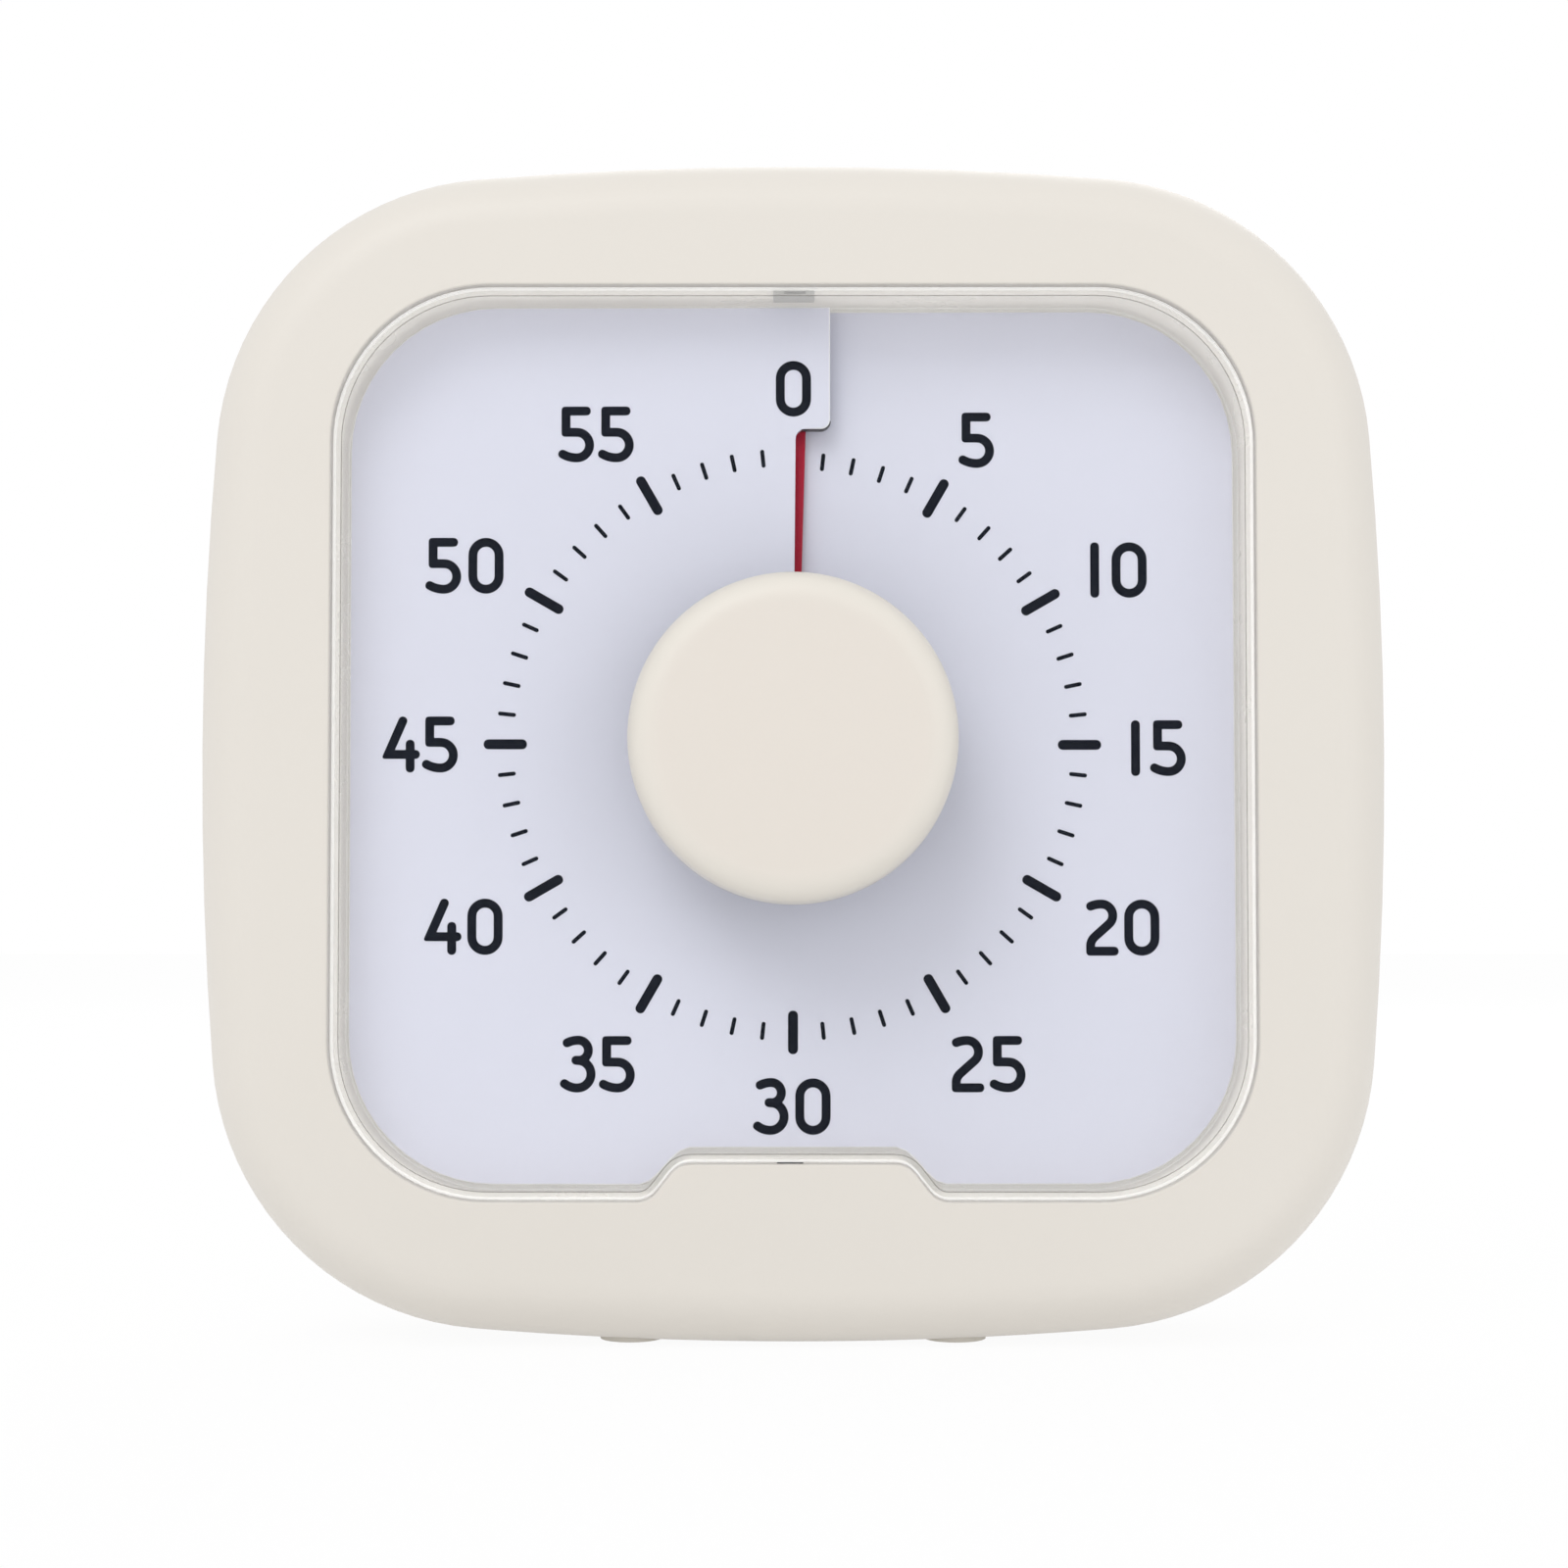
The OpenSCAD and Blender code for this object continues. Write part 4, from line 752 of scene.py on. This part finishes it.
strokes = {"0": [figure_0], "1": [figure_1], "2": [figure_2], "3": [figure_3_top, figure_3_low],
           "4": [figure_4_side, figure_4_post], "5": [figure_5]}
figures = {}
for digit, lines in strokes.items():
    parts = [ribbon("figure_" + digit, line) for line in lines]
    if len(parts) == 2:
        modify(parts[0], "BOOLEAN", operation="UNION", solver="EXACT", object=parts[1])
        bpy.data.objects.remove(parts[1])
    figures[digit] = keep_top(parts[0])
    print("figure", digit, len(figures[digit].data.polygons), "faces")

# %% [markdown]
# Seen from a little below, the gap under the side of the tab lies in deep shade. A thin black
# strip, painted shade, sits against the side and follows its outline. It is drawn with the same
# ribbon, only taller and much thinner.

# %% Black strip under the tab, painted shade
TAB_LOW, TAB_W, TAB_R = 51.0, 6.0, 1.5
STRIP_START, STRIP_T, STRIP_LOW, STRIP_HIGH, STRIP_GAP = 1.3, 0.12, -13.3, -11.35, 0.01


def tab_edge():
    y = TAB_LOW - STRIP_T / 2 - STRIP_GAP
    Pen(STRIP_START, y).to(TAB_W - TAB_R, y, 2).arc(TAB_W - TAB_R, TAB_LOW + TAB_R, -80, 6)


strip = ribbon("tab_painted_shade_strip", tab_edge, STRIP_T)
strip.scale.z = (STRIP_HIGH - STRIP_LOW) / RIBBON_H
strip.location.z = STRIP_LOW
alone(strip)
bpy.ops.object.transform_apply(location=True, rotation=True, scale=True)
stand(strip, 30)
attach(strip, "case")
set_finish(strip, "black_plastic")
print("strip under the tab:", len(strip.data.polygons), "faces")

# %% [markdown]
# In the middle of the top and of the bump, snap catches hold the cover in the frame. Through the
# clear wall they show as a dark plate with a darker slot, and as a dark line. The plates are
# coloured near black, as painted shade for the recess round each catch. The slot is a black
# plate, as painted shade for the slot. They are flat plates in the narrow gap behind the cover,
# so a cube with soft edges is enough.
# Each is given by its two ends along x, y and z of the bench.


# %% Snap catches of the cover
SOFT_EDGE = 0.03


def plate(name, x, y, z, slot):
    """A plate between two places on each axis, with its edges broken."""
    select_none()
    middle = [(low + high) / 2 for low, high in (x, y, z)]
    bpy.ops.mesh.primitive_cube_add(size=1, location=middle)
    piece = bpy.context.object
    piece.name = piece.data.name = name
    piece.scale = [high - low for low, high in (x, y, z)]
    bpy.ops.object.transform_apply(location=True, rotation=True, scale=True)
    modify(piece, "BEVEL", width=SOFT_EDGE, segments=2)
    stand(piece)
    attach(piece, "case")
    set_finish(piece, slot)
    print(name, len(piece.data.polygons), "faces")


plate("cover_catch_top", (-3.15, 3.48), (72.06, 72.22), (-13.5, -4.5), "white_nylon")
plate("cover_catch_slot_shade", (-1.4, 2.05), (72.0, 72.12), (-6.8, -4.9), "black_plastic")
plate("cover_catch_low", (-2.5, 1.6), (-66.33, -66.20), (-2.2, -1.2), "white_nylon")

# %% [markdown]
# The numbers are placed by the middle of each figure, as read off the dial: they stand
# upright on a rounded square. The scale strokes are one long and one short bar, each drawn
# once and copied round the dial, 6 degrees apart, with none at zero.

# %% Numbers on the dial
labels = [("0", 57.5, [0.08]), ("5", 49.7, [29.84]), ("10", 28.45, [49.0, 54.6]),
          ("15", -0.53, [55.46, 60.69]), ("20", -29.55, [49.98, 56.31]),
          ("25", -51.5, [28.23, 34.55]), ("30", -58.3, [-3.5, 3.21]),
          ("35", -51.5, [-34.55, -28.33]), ("40", -29.4, [-56.3, -49.6]),
          ("45", -0.03, [-63.1, -56.95]), ("50", 28.87, [-56.5, -49.6]),
          ("55", 50.15, [-35.06, -28.63])]
marks = []


def stamp(piece, x, y, turn=0.0):
    """A copy of piece, with its own mesh, turned clockwise about the dial and moved."""
    copy = bpy.data.objects.new("mark", piece.data.copy())
    scene.collection.objects.link(copy)
    alone(copy)
    copy.location = (x, y, 0)
    copy.rotation_euler = (0, 0, -math.radians(turn))
    bpy.ops.object.transform_apply(location=True, rotation=True, scale=True)
    marks.append(copy)


for text, y, xs in labels:
    for digit, x in zip(text, xs):
        stamp(figures[digit], x, y - FIGURE_H / 2)

# %% Scale strokes
SCALE_R, LONG, THIN = 46.4, (7.0, 1.6), (2.9, 0.65)
INK_LIFT, INK_T = 0.012, 0.03
bars = {}
for kind, (length, width) in (("long", LONG), ("thin", THIN)):
    run = (length - width) / 2
    bar = ribbon(kind, lambda: Pen(0, SCALE_R - run).to(0, SCALE_R + run, 3), width)
    bars[kind] = keep_top(bar)
for minute in range(1, 60):
    stamp(bars["thin" if minute % 5 else "long"], 0, 0, 6 * minute)
for spare in list(figures.values()) + list(bars.values()):
    bpy.data.objects.remove(spare)
scale = join(marks)
scale.name = scale.data.name = "dial_print"
stand(scale, 0)
modify(scale, "SHRINKWRAP", wrap_method="PROJECT", use_project_y=True,
       use_positive_direction=True, use_negative_direction=False, target=dial,
       offset=INK_LIFT * MM, wrap_mode="ABOVE_SURFACE")
modify(scale, "SOLIDIFY", thickness=INK_T * MM, offset=1)
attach(scale, "case")
low, high = min(v.co.y for v in scale.data.vertices), max(v.co.y for v in scale.data.vertices)
print("print:", len(scale.data.polygons), "faces, from y", round(low, 5), "to", round(high, 5))

# %% [markdown]
# ## The back and the small parts
# The rear case, battery door, feet, switch and screws have the right shape in the CAD part,
# so cleaned copies of them are enough. A hair of bevel on the small ones catches the light
# the way a moulded or turned edge does. The CAD part's round at the back has five flats, and
# they would show against the white: a block with a finer and slightly larger round is drawn
# like the front frame, and a Boolean keeps only what lies inside it.

# %% A finer round for the back
BACK = face_z(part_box("rear_case")[1].y)
BACK_R, SPARE, ROUND_STEPS, PAST_RIM = 8.5, 0.02, 14, 2.0
stack = Stack("back_round")
stack.add(case_outline, -SPARE, PAST_RIM)
for a in reversed(quarter(ROUND_STEPS)):
    stack.add(case_outline, BACK_R * (1 - math.sin(a)) - SPARE,
              BACK - SPARE + BACK_R * (1 - math.cos(a)))
block = stack.skin()
for end in (1, stack.rows):
    stack.select(end)
    bpy.ops.mesh.edge_face_add()
tidy_normals()
to_object()
stand(block, 0)
print("back round:", len(block.data.polygons), "faces")

# %% Cleaned copies
cleaned("rear_case", "rear_case_skin", "case", "case_cream", angle=22, within=block)
bpy.data.objects.remove(block)
cleaned("battery_door", "battery_door_skin", "battery_lid", "case_cream", 0.12, angle=16)
cleaned("rubber_feet", "rubber_feet_skin", "case", "foot_rubber", 0.15)
cleaned("switch_button", "switch_button_skin", "volume_button", "black_plastic", 0.1)
cleaned("case_screws", "case_screws_skin", "case", "steel", 0.06)

# %% [markdown]
# ## Finishes
# Every finish is worked out from Object coordinates, so it stays on its part from any side.
# Sums on a surface are written as plain Python: a small class wraps a socket, and adding or
# multiplying two of them puts the Math node in place. Wiring the same nodes by hand gives
# the same result, but a long sum is easier to read as a line of arithmetic.


# %% A value that flows between shader nodes
class Flow:
    """One output socket. Arithmetic on it adds Math nodes."""

    def __init__(self, finish, socket):
        self.finish, self.socket = finish, socket

    def maths(self, operation, other):
        return self.finish.node("ShaderNodeMath", {"operation": operation}, {0: self, 1: other})

    def __add__(self, other):
        return self.maths("ADD", other)

    def __mul__(self, other):
        return self.maths("MULTIPLY", other)


class Finish:
    """A material with one Principled shader, and the few nodes that vary it."""

    def __init__(self, name, colour, roughness, **settings):
        self.material = bpy.data.materials.new(name)
        self.material.use_nodes = True
        self.tree = self.material.node_tree
        self.tree.nodes.clear()
        self.output = self.tree.nodes.new("ShaderNodeOutputMaterial")
        self.shader = self.tree.nodes.new("ShaderNodeBsdfPrincipled")
        self.tree.links.new(self.shader.outputs[0], self.output.inputs["Surface"])
        self.colour = (*colour, 1)
        self.set("Base Color", self.colour)
        self.set("Roughness", roughness)
        for key, value in settings.items():
            self.set(key.replace("_", " "), value)
        self.place = self.node("ShaderNodeTexCoord", {}, {}, "Object")

    def feed(self, socket, value):
        """Links a Flow to an input socket, or sets the socket to a plain value."""
        if isinstance(value, Flow):
            self.tree.links.new(value.socket, socket)
        else:
            socket.default_value = value

    def node(self, kind, settings, inputs, output=0):
        """A new node with its settings and inputs; gives back one of its outputs."""
        made = self.tree.nodes.new(kind)
        for key, value in settings.items():
            setattr(made, key, value)
        for key, value in inputs.items():
            self.feed(made.inputs[key], value)
        return Flow(self, made.outputs[output])

    def set(self, socket, value):
        self.feed(self.shader.inputs[socket], value)

    def mix_with(self, factor, other):
        """Sends a mix of the Principled shader and another shader to the output."""
        mixed = self.node("ShaderNodeMixShader", {},
                          {0: factor, 1: Flow(self, self.shader.outputs[0]), 2: other})
        self.feed(self.output.inputs["Surface"], mixed)

    def noise(self, scale, detail=2.0, rough=0.5, stretch=None):
        where = self.place
        if stretch:
            where = self.node("ShaderNodeMapping", {}, {"Vector": where, "Scale": stretch})
        return self.node("ShaderNodeTexNoise", {},
                         {"Vector": where, "Scale": scale, "Detail": detail, "Roughness": rough})

    def between(self, mask, first, second):
        """A colour that goes from first to second as mask goes from 0 to 1."""
        return self.node("ShaderNodeMix", {"data_type": "RGBA"},
                         {0: mask, 6: first, 7: second}, 2)

    def bump(self, height, strength, distance):
        self.set("Normal", self.node("ShaderNodeBump", {},
                                     {"Height": height, "Strength": strength,
                                      "Distance": distance}))


def shade(colour, factor):
    """The colour with its light multiplied by a factor."""
    return (*(c * factor for c in colour[:3]), 1)


# %% [markdown]
# The case is a satin moulding in a warm cream. Up close such plastic has a very fine spark
# eroded grain, flow lines that shift the colour by a per cent, and gloss that varies with
# handling. The grain is a fine noise fed to Bump, far too small to see as dots from afar.

# %% Moulded plastics
CLOUDS, SMEARS, DARKER, PALER = 18, 90, 0.975, 1.02


def moulded(name, colour, roughness, grain=1600.0, depth=0.00002, **settings):
    finish = Finish(name, colour, roughness, **settings)
    cloud, fine = finish.noise(CLOUDS, 3), finish.noise(grain, 2, 0.6)
    smear = finish.noise(SMEARS, 4, 0.6, (1.0, 1.0, 0.35))
    finish.paint = finish.between(
        cloud * 0.7 + fine * 0.3, shade(finish.colour, DARKER), shade(finish.colour, PALER))
    finish.set("Base Color", finish.paint)
    finish.set("Roughness", smear * 0.10 + fine * 0.04 + (roughness - 0.07))
    finish.bump(fine, 0.25, depth)
    return finish


cream = moulded("case_cream_satin", (0.730, 0.693, 0.638), 0.46)
knob_cream = moulded("knob_cream_satin", (0.738, 0.687, 0.626), 0.42)
white = moulded("dial_white_matt", (0.696, 0.702, 0.803), 0.60, 2200.0, 0.00001)
# A paler white on the dial's broken rim: painted highlight.
rim_highlight_white = moulded("dial_rim_painted_highlight", (0.850, 0.850, 0.880), 0.50)
crimson = moulded("red_film", (0.450, 0.010, 0.036), 0.45, 2500.0, 0.000008,
                  Specular_IOR_Level=0.15)
nylon = moulded("white_nylon_natural", (0.780, 0.775, 0.740), 0.50)
# The catches are near black: painted shade for the recess round them.
catch_painted_shade = moulded("catch_painted_shade", (0.045, 0.045, 0.042), 0.55)
black = moulded("black_plastic_satin", (0.020, 0.020, 0.022), 0.42, 1800.0)
rubber = moulded("foot_rubber_soft", (0.700, 0.670, 0.610), 0.70, 1200.0, 0.00004)
red_wire = moulded("lead_red_pvc", (0.550, 0.020, 0.015), 0.40, 900.0)
black_wire = moulded("lead_black_pvc", (0.015, 0.015, 0.016), 0.40, 900.0)
print(len(bpy.data.materials), "materials, with those of the CAD part")

# %% [markdown]
# The knob's rolled edge and side are painted a little paler than its face, which looks a shade
# yellower. This is painted light that brightens the sides the lamps leave dim. The distance from
# the axis, a length of two Object coordinates, blends the two.

# %% Painted light on the knob's side
# The side's paler tone is painted light.
SIDE_PAINTED_LIGHT = (0.755, 0.718, 0.654, 1)
blend_from, blend_to = side - 1.3 * KNOB_EDGE, side - 0.2 * KNOB_EDGE
from_axis = knob_cream.node("ShaderNodeVectorMath", {"operation": "SUBTRACT"},
                            {0: knob_cream.place, 1: (0, 0, AXIS_Z)})
across = knob_cream.node("ShaderNodeVectorMath", {"operation": "MULTIPLY"},
                         {0: from_axis, 1: (1, 0, 1)})
radius = knob_cream.node("ShaderNodeVectorMath", {"operation": "LENGTH"}, {0: across}, 1)
toward_side = knob_cream.node("ShaderNodeMapRange", {"interpolation_type": "SMOOTHSTEP"},
                              {"Value": radius, "From Min": blend_from * MM,
                               "From Max": blend_to * MM})
knob_cream.set("Base Color", knob_cream.between(toward_side, knob_cream.paint, SIDE_PAINTED_LIGHT))
print("knob tones blend from", round(blend_from, 2), "to", round(blend_to, 2), "mm")

# %% [markdown]
# The ink is almost black with a touch of navy. It mirrors hardly anything, so it stays dark
# under the cover, and it is slightly uneven where the screen left less of it.

# %% Ink
ink = Finish("navy_ink", (0.005, 0.007, 0.014), 0.55, Specular_IOR_Level=0.06)
cover_of_ink = ink.noise(700, 3, 0.6)
ink.set("Base Color", ink.between(cover_of_ink, (0.004, 0.006, 0.012, 1),
                                  (0.008, 0.010, 0.018, 1)))
ink.set("Roughness", cover_of_ink * 0.15 + 0.48)
ink.bump(cover_of_ink, 0.2, 0.00001)

# %% [markdown]
# The clear cover is polystyrene. The real plastic has an index of 1.59. A much lower one is
# used here, because it keeps the reflections over the ink as weak and the cover's edges as
# clean as the photograph shows them. Shadows of a refracting shell come out too dark,
# because the lamps cannot be reached through it, so shadow rays see it as plainly
# transparent instead.

# %% Clear plastic
WEAK_INDEX = 1.12
clear = Finish("clear_plastic_polished", (0.985, 0.990, 0.990), 0.02,
               IOR=WEAK_INDEX, Transmission_Weight=1.0)
haze = clear.noise(60, 2)
clear.set("Roughness", haze * 0.02 + 0.008)
in_shadow = clear.node("ShaderNodeLightPath", {}, {}, "Is Shadow Ray")
see_through = clear.node("ShaderNodeBsdfTransparent", {}, {"Color": (0.97, 0.975, 0.975, 1)})
clear.mix_with(in_shadow, see_through)

# %% [markdown]
# Seen edge on, the cover's wall is a pale haze that still lets the cream wall behind it show. A
# low Alpha gives this: the surface is a thin veil that takes some light itself. It also glows a
# little, a painted glow that stands in for the light that enters its front and is piped along
# it. The two corners of its front edge get stronger veils of their own. Outside is a pale
# glowing line, a painted highlight. Inside is a dark line, painted shade of the gap at the
# dial's edge. The skin's row numbers tell which faces those are.


# %% Milky wall of the cover
def veiled(name, colour, alpha, glow):
    finish = Finish(name, colour, 0.35, Specular_IOR_Level=0.2, Emission_Strength=glow)
    mist = finish.noise(45, 3, 0.6, (1.0, 1.0, 3.0))
    finish.set("Alpha", mist * 0.08 + (alpha - 0.04))
    finish.set("Roughness", mist * 0.10 + 0.30)
    finish.set("Emission Color", finish.between(mist, (0.94, 0.92, 0.88, 1),
                                                (1.0, 0.98, 0.95, 1)))
    return finish


veil = veiled("clear_plastic_edge", (0.900, 0.885, 0.850), 0.26, 0.35)
painted_highlight_line = veiled("clear_plastic_painted_highlight", (0.930, 0.920, 0.900), 0.60, 0.40)
painted_shade_line = veiled("clear_plastic_painted_shade", (0.320, 0.310, 0.290), 0.65, 0.0)
# Rows 3 and 4 carry the painted highlight line, rows 1 and 2 the painted shade line.
SLOT_OF_ROWS = {(3, 4): 1, (1, 2): 2}
row = cover_wall.data.attributes["row"].data
while len(cover_wall.data.materials) < 3:
    cover_wall.data.materials.append(None)
for face in cover_wall.data.polygons:
    rows = {row[point].value for point in face.vertices}
    face.material_index = SLOT_OF_ROWS.get(tuple(sorted(rows)), 0)

# %% [markdown]
# The metals are inside, behind the back or in the screw wells. Steel is zinc plated and
# slightly mottled, brass carries fine turning marks, and enamelled copper wire is a warm
# brown red. The circuit board is green lacquer over glass cloth, and the cell wears a
# printed sleeve, here left without any print.

# %% Metals, board and cell
def metal(name, colour, roughness, marks=(1.0, 1.0, 1.0)):
    finish = Finish(name, colour, roughness, Metallic=1.0)
    spots, lines = finish.noise(220, 3), finish.noise(900, 2, 0.7, marks)
    finish.set("Base Color", finish.between(
        spots, shade(finish.colour, 0.9), shade(finish.colour, 1.08)))
    finish.set("Roughness", lines * 0.18 + (roughness - 0.09))
    finish.bump(lines, 0.15, 0.00001)
    return finish


steel = metal("zinc_plated_steel", (0.620, 0.610, 0.590), 0.34, (1.0, 8.0, 1.0))
brass = metal("turned_brass", (0.760, 0.560, 0.260), 0.30, (1.0, 10.0, 1.0))
copper = metal("enamelled_copper", (0.520, 0.200, 0.090), 0.32, (1.0, 1.0, 12.0))
board = Finish("board_green_lacquer", (0.020, 0.120, 0.050), 0.35)
cloth = board.noise(1500, 2, 0.5, (1.0, 0.2, 1.0)) * board.noise(1500, 2, 0.5, (0.2, 1.0, 1.0))
board.set("Base Color", board.between(cloth, (0.014, 0.095, 0.040, 1),
                                      (0.030, 0.155, 0.066, 1)))
board.bump(cloth, 0.3, 0.00002)
sleeve = Finish("cell_sleeve", (0.300, 0.310, 0.330), 0.30, Metallic=0.6)
foil = sleeve.noise(300, 3)
sleeve.set("Base Color", sleeve.between(foil, (0.26, 0.27, 0.29, 1), (0.33, 0.34, 0.36, 1)))
sleeve.set("Roughness", foil * 0.1 + 0.24)

# %% Finishes onto the parts
finishes = {"case_cream": cream, "clear_plastic": clear, "dial_white": white,
            "red_sheet": crimson, "white_nylon": nylon, "knob_cream": knob_cream,
            "steel": steel, "brass": brass, "black_plastic": black, "copper_wire": copper,
            "board_green": board, "cell_wrap": sleeve, "lead_red": red_wire,
            "lead_black": black_wire, "foot_rubber": rubber}
own = {"dial_print": [ink], "dial_ramp": [white, rim_highlight_white],
       "cover_catch_top": [catch_painted_shade], "cover_catch_low": [catch_painted_shade],
       "clear_cover_wall": [veil, painted_highlight_line, painted_shade_line]}
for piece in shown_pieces():
    slot = piece.get("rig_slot")
    if slot or piece.name in own:
        chosen = own.get(piece.name, [finishes.get(slot)])
        while len(piece.data.materials) < len(chosen):
            piece.data.materials.append(None)
        for place, finish in enumerate(chosen):
            piece.data.materials[place] = finish.material
    elif "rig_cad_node" in piece:
        for place in piece.material_slots:
            place.material = finishes[place.material.name.split(".")[0]].material

# %% [markdown]
# ## Floor and light
# The photograph is a catalogue shot on pure white: no horizon, and a shadow so faint that it
# is gone. The floor and the world are white to the camera and in reflections, while a part
# of the floor's own shading stays, so the timer's shadow is still there. The floor also
# throws a third of a white sheet's light back up, as the lit paper of a studio does, which
# keeps the case's lower edge from going dull. Two large soft lamps from the upper left and
# the right light the front evenly, with the left one stronger, which rounds the knob and
# drops its soft shadow to the lower right. A third lights the back for the other views.

# %% Floor
FLOOR_W, SEEN_WHITE, BOUNCE = 6, 0.58, 0.35
bpy.ops.mesh.primitive_plane_add(size=FLOOR_W, location=(0, 0, cad_box[0].z))
floor = bpy.context.object
floor.name = "floor"
paper = Finish("white_paper_floor", (0.90, 0.90, 0.90), 0.9)
grain = paper.noise(40, 2)
paper.set("Base Color", paper.between(grain, (0.89, 0.89, 0.89, 1), (0.91, 0.91, 0.91, 1)))
seen = paper.node("ShaderNodeLightPath", {}, {}, "Is Camera Ray")
for ray in ("Is Transmission Ray", "Is Glossy Ray"):
    seen = seen + paper.node("ShaderNodeLightPath", {}, {}, ray)
glow = paper.node("ShaderNodeEmission", {}, {"Color": (1, 1, 1, 1), "Strength": 1.0})
paper.mix_with(seen * SEEN_WHITE + BOUNCE, glow)
floor.data.materials.append(paper.material)
print("floor at z", round(cad_box[0].z, 4))

# %% World
SKY_LIGHT = 0.93
world = bpy.data.worlds.new("studio")
scene.world = world
world.use_nodes = True
sky = world.node_tree
sky.nodes.clear()
paths = sky.nodes.new("ShaderNodeLightPath")
choice = sky.nodes.new("ShaderNodeMixShader")
sky.links.new(paths.outputs["Is Camera Ray"], choice.inputs[0])
for place, strength in ((1, SKY_LIGHT), (2, 1.0)):
    backdrop = sky.nodes.new("ShaderNodeBackground")
    backdrop.inputs["Color"].default_value = (1, 1, 1, 1)
    backdrop.inputs["Strength"].default_value = strength
    sky.links.new(backdrop.outputs[0], choice.inputs[place])
world_out = sky.nodes.new("ShaderNodeOutputWorld")
sky.links.new(choice.outputs[0], world_out.inputs["Surface"])
print("world: white to the camera,", SKY_LIGHT, "to everything else")


# %% Lamps
SOFTBOX_W, MIDDLE = 0.9, Vector((0, FACE_Y, AXIS_Z))


def softbox(name, place, power):
    """A square lamp at a place, turned towards the middle of the dial."""
    bpy.ops.object.light_add(type="AREA", location=place)
    lamp = bpy.context.object
    lamp.name = name
    lamp.data.shape, lamp.data.size, lamp.data.energy = "SQUARE", SOFTBOX_W, power
    lamp.rotation_euler = (MIDDLE - Vector(place)).to_track_quat("-Z", "Y").to_euler()
    print(name, "at", place, "power", power)


softbox("key_left", (-0.50, -1.1, 1.20), 4.6)
softbox("fill_right", (0.95, -1.2, 0.45), 1.2)
softbox("back_fill", (0.2, 1.2, 0.9), 3.0)

# %% Sizes, and the end
print("CAD box", [round(c, 4) for c in (*cad_box[0], *cad_box[1])])
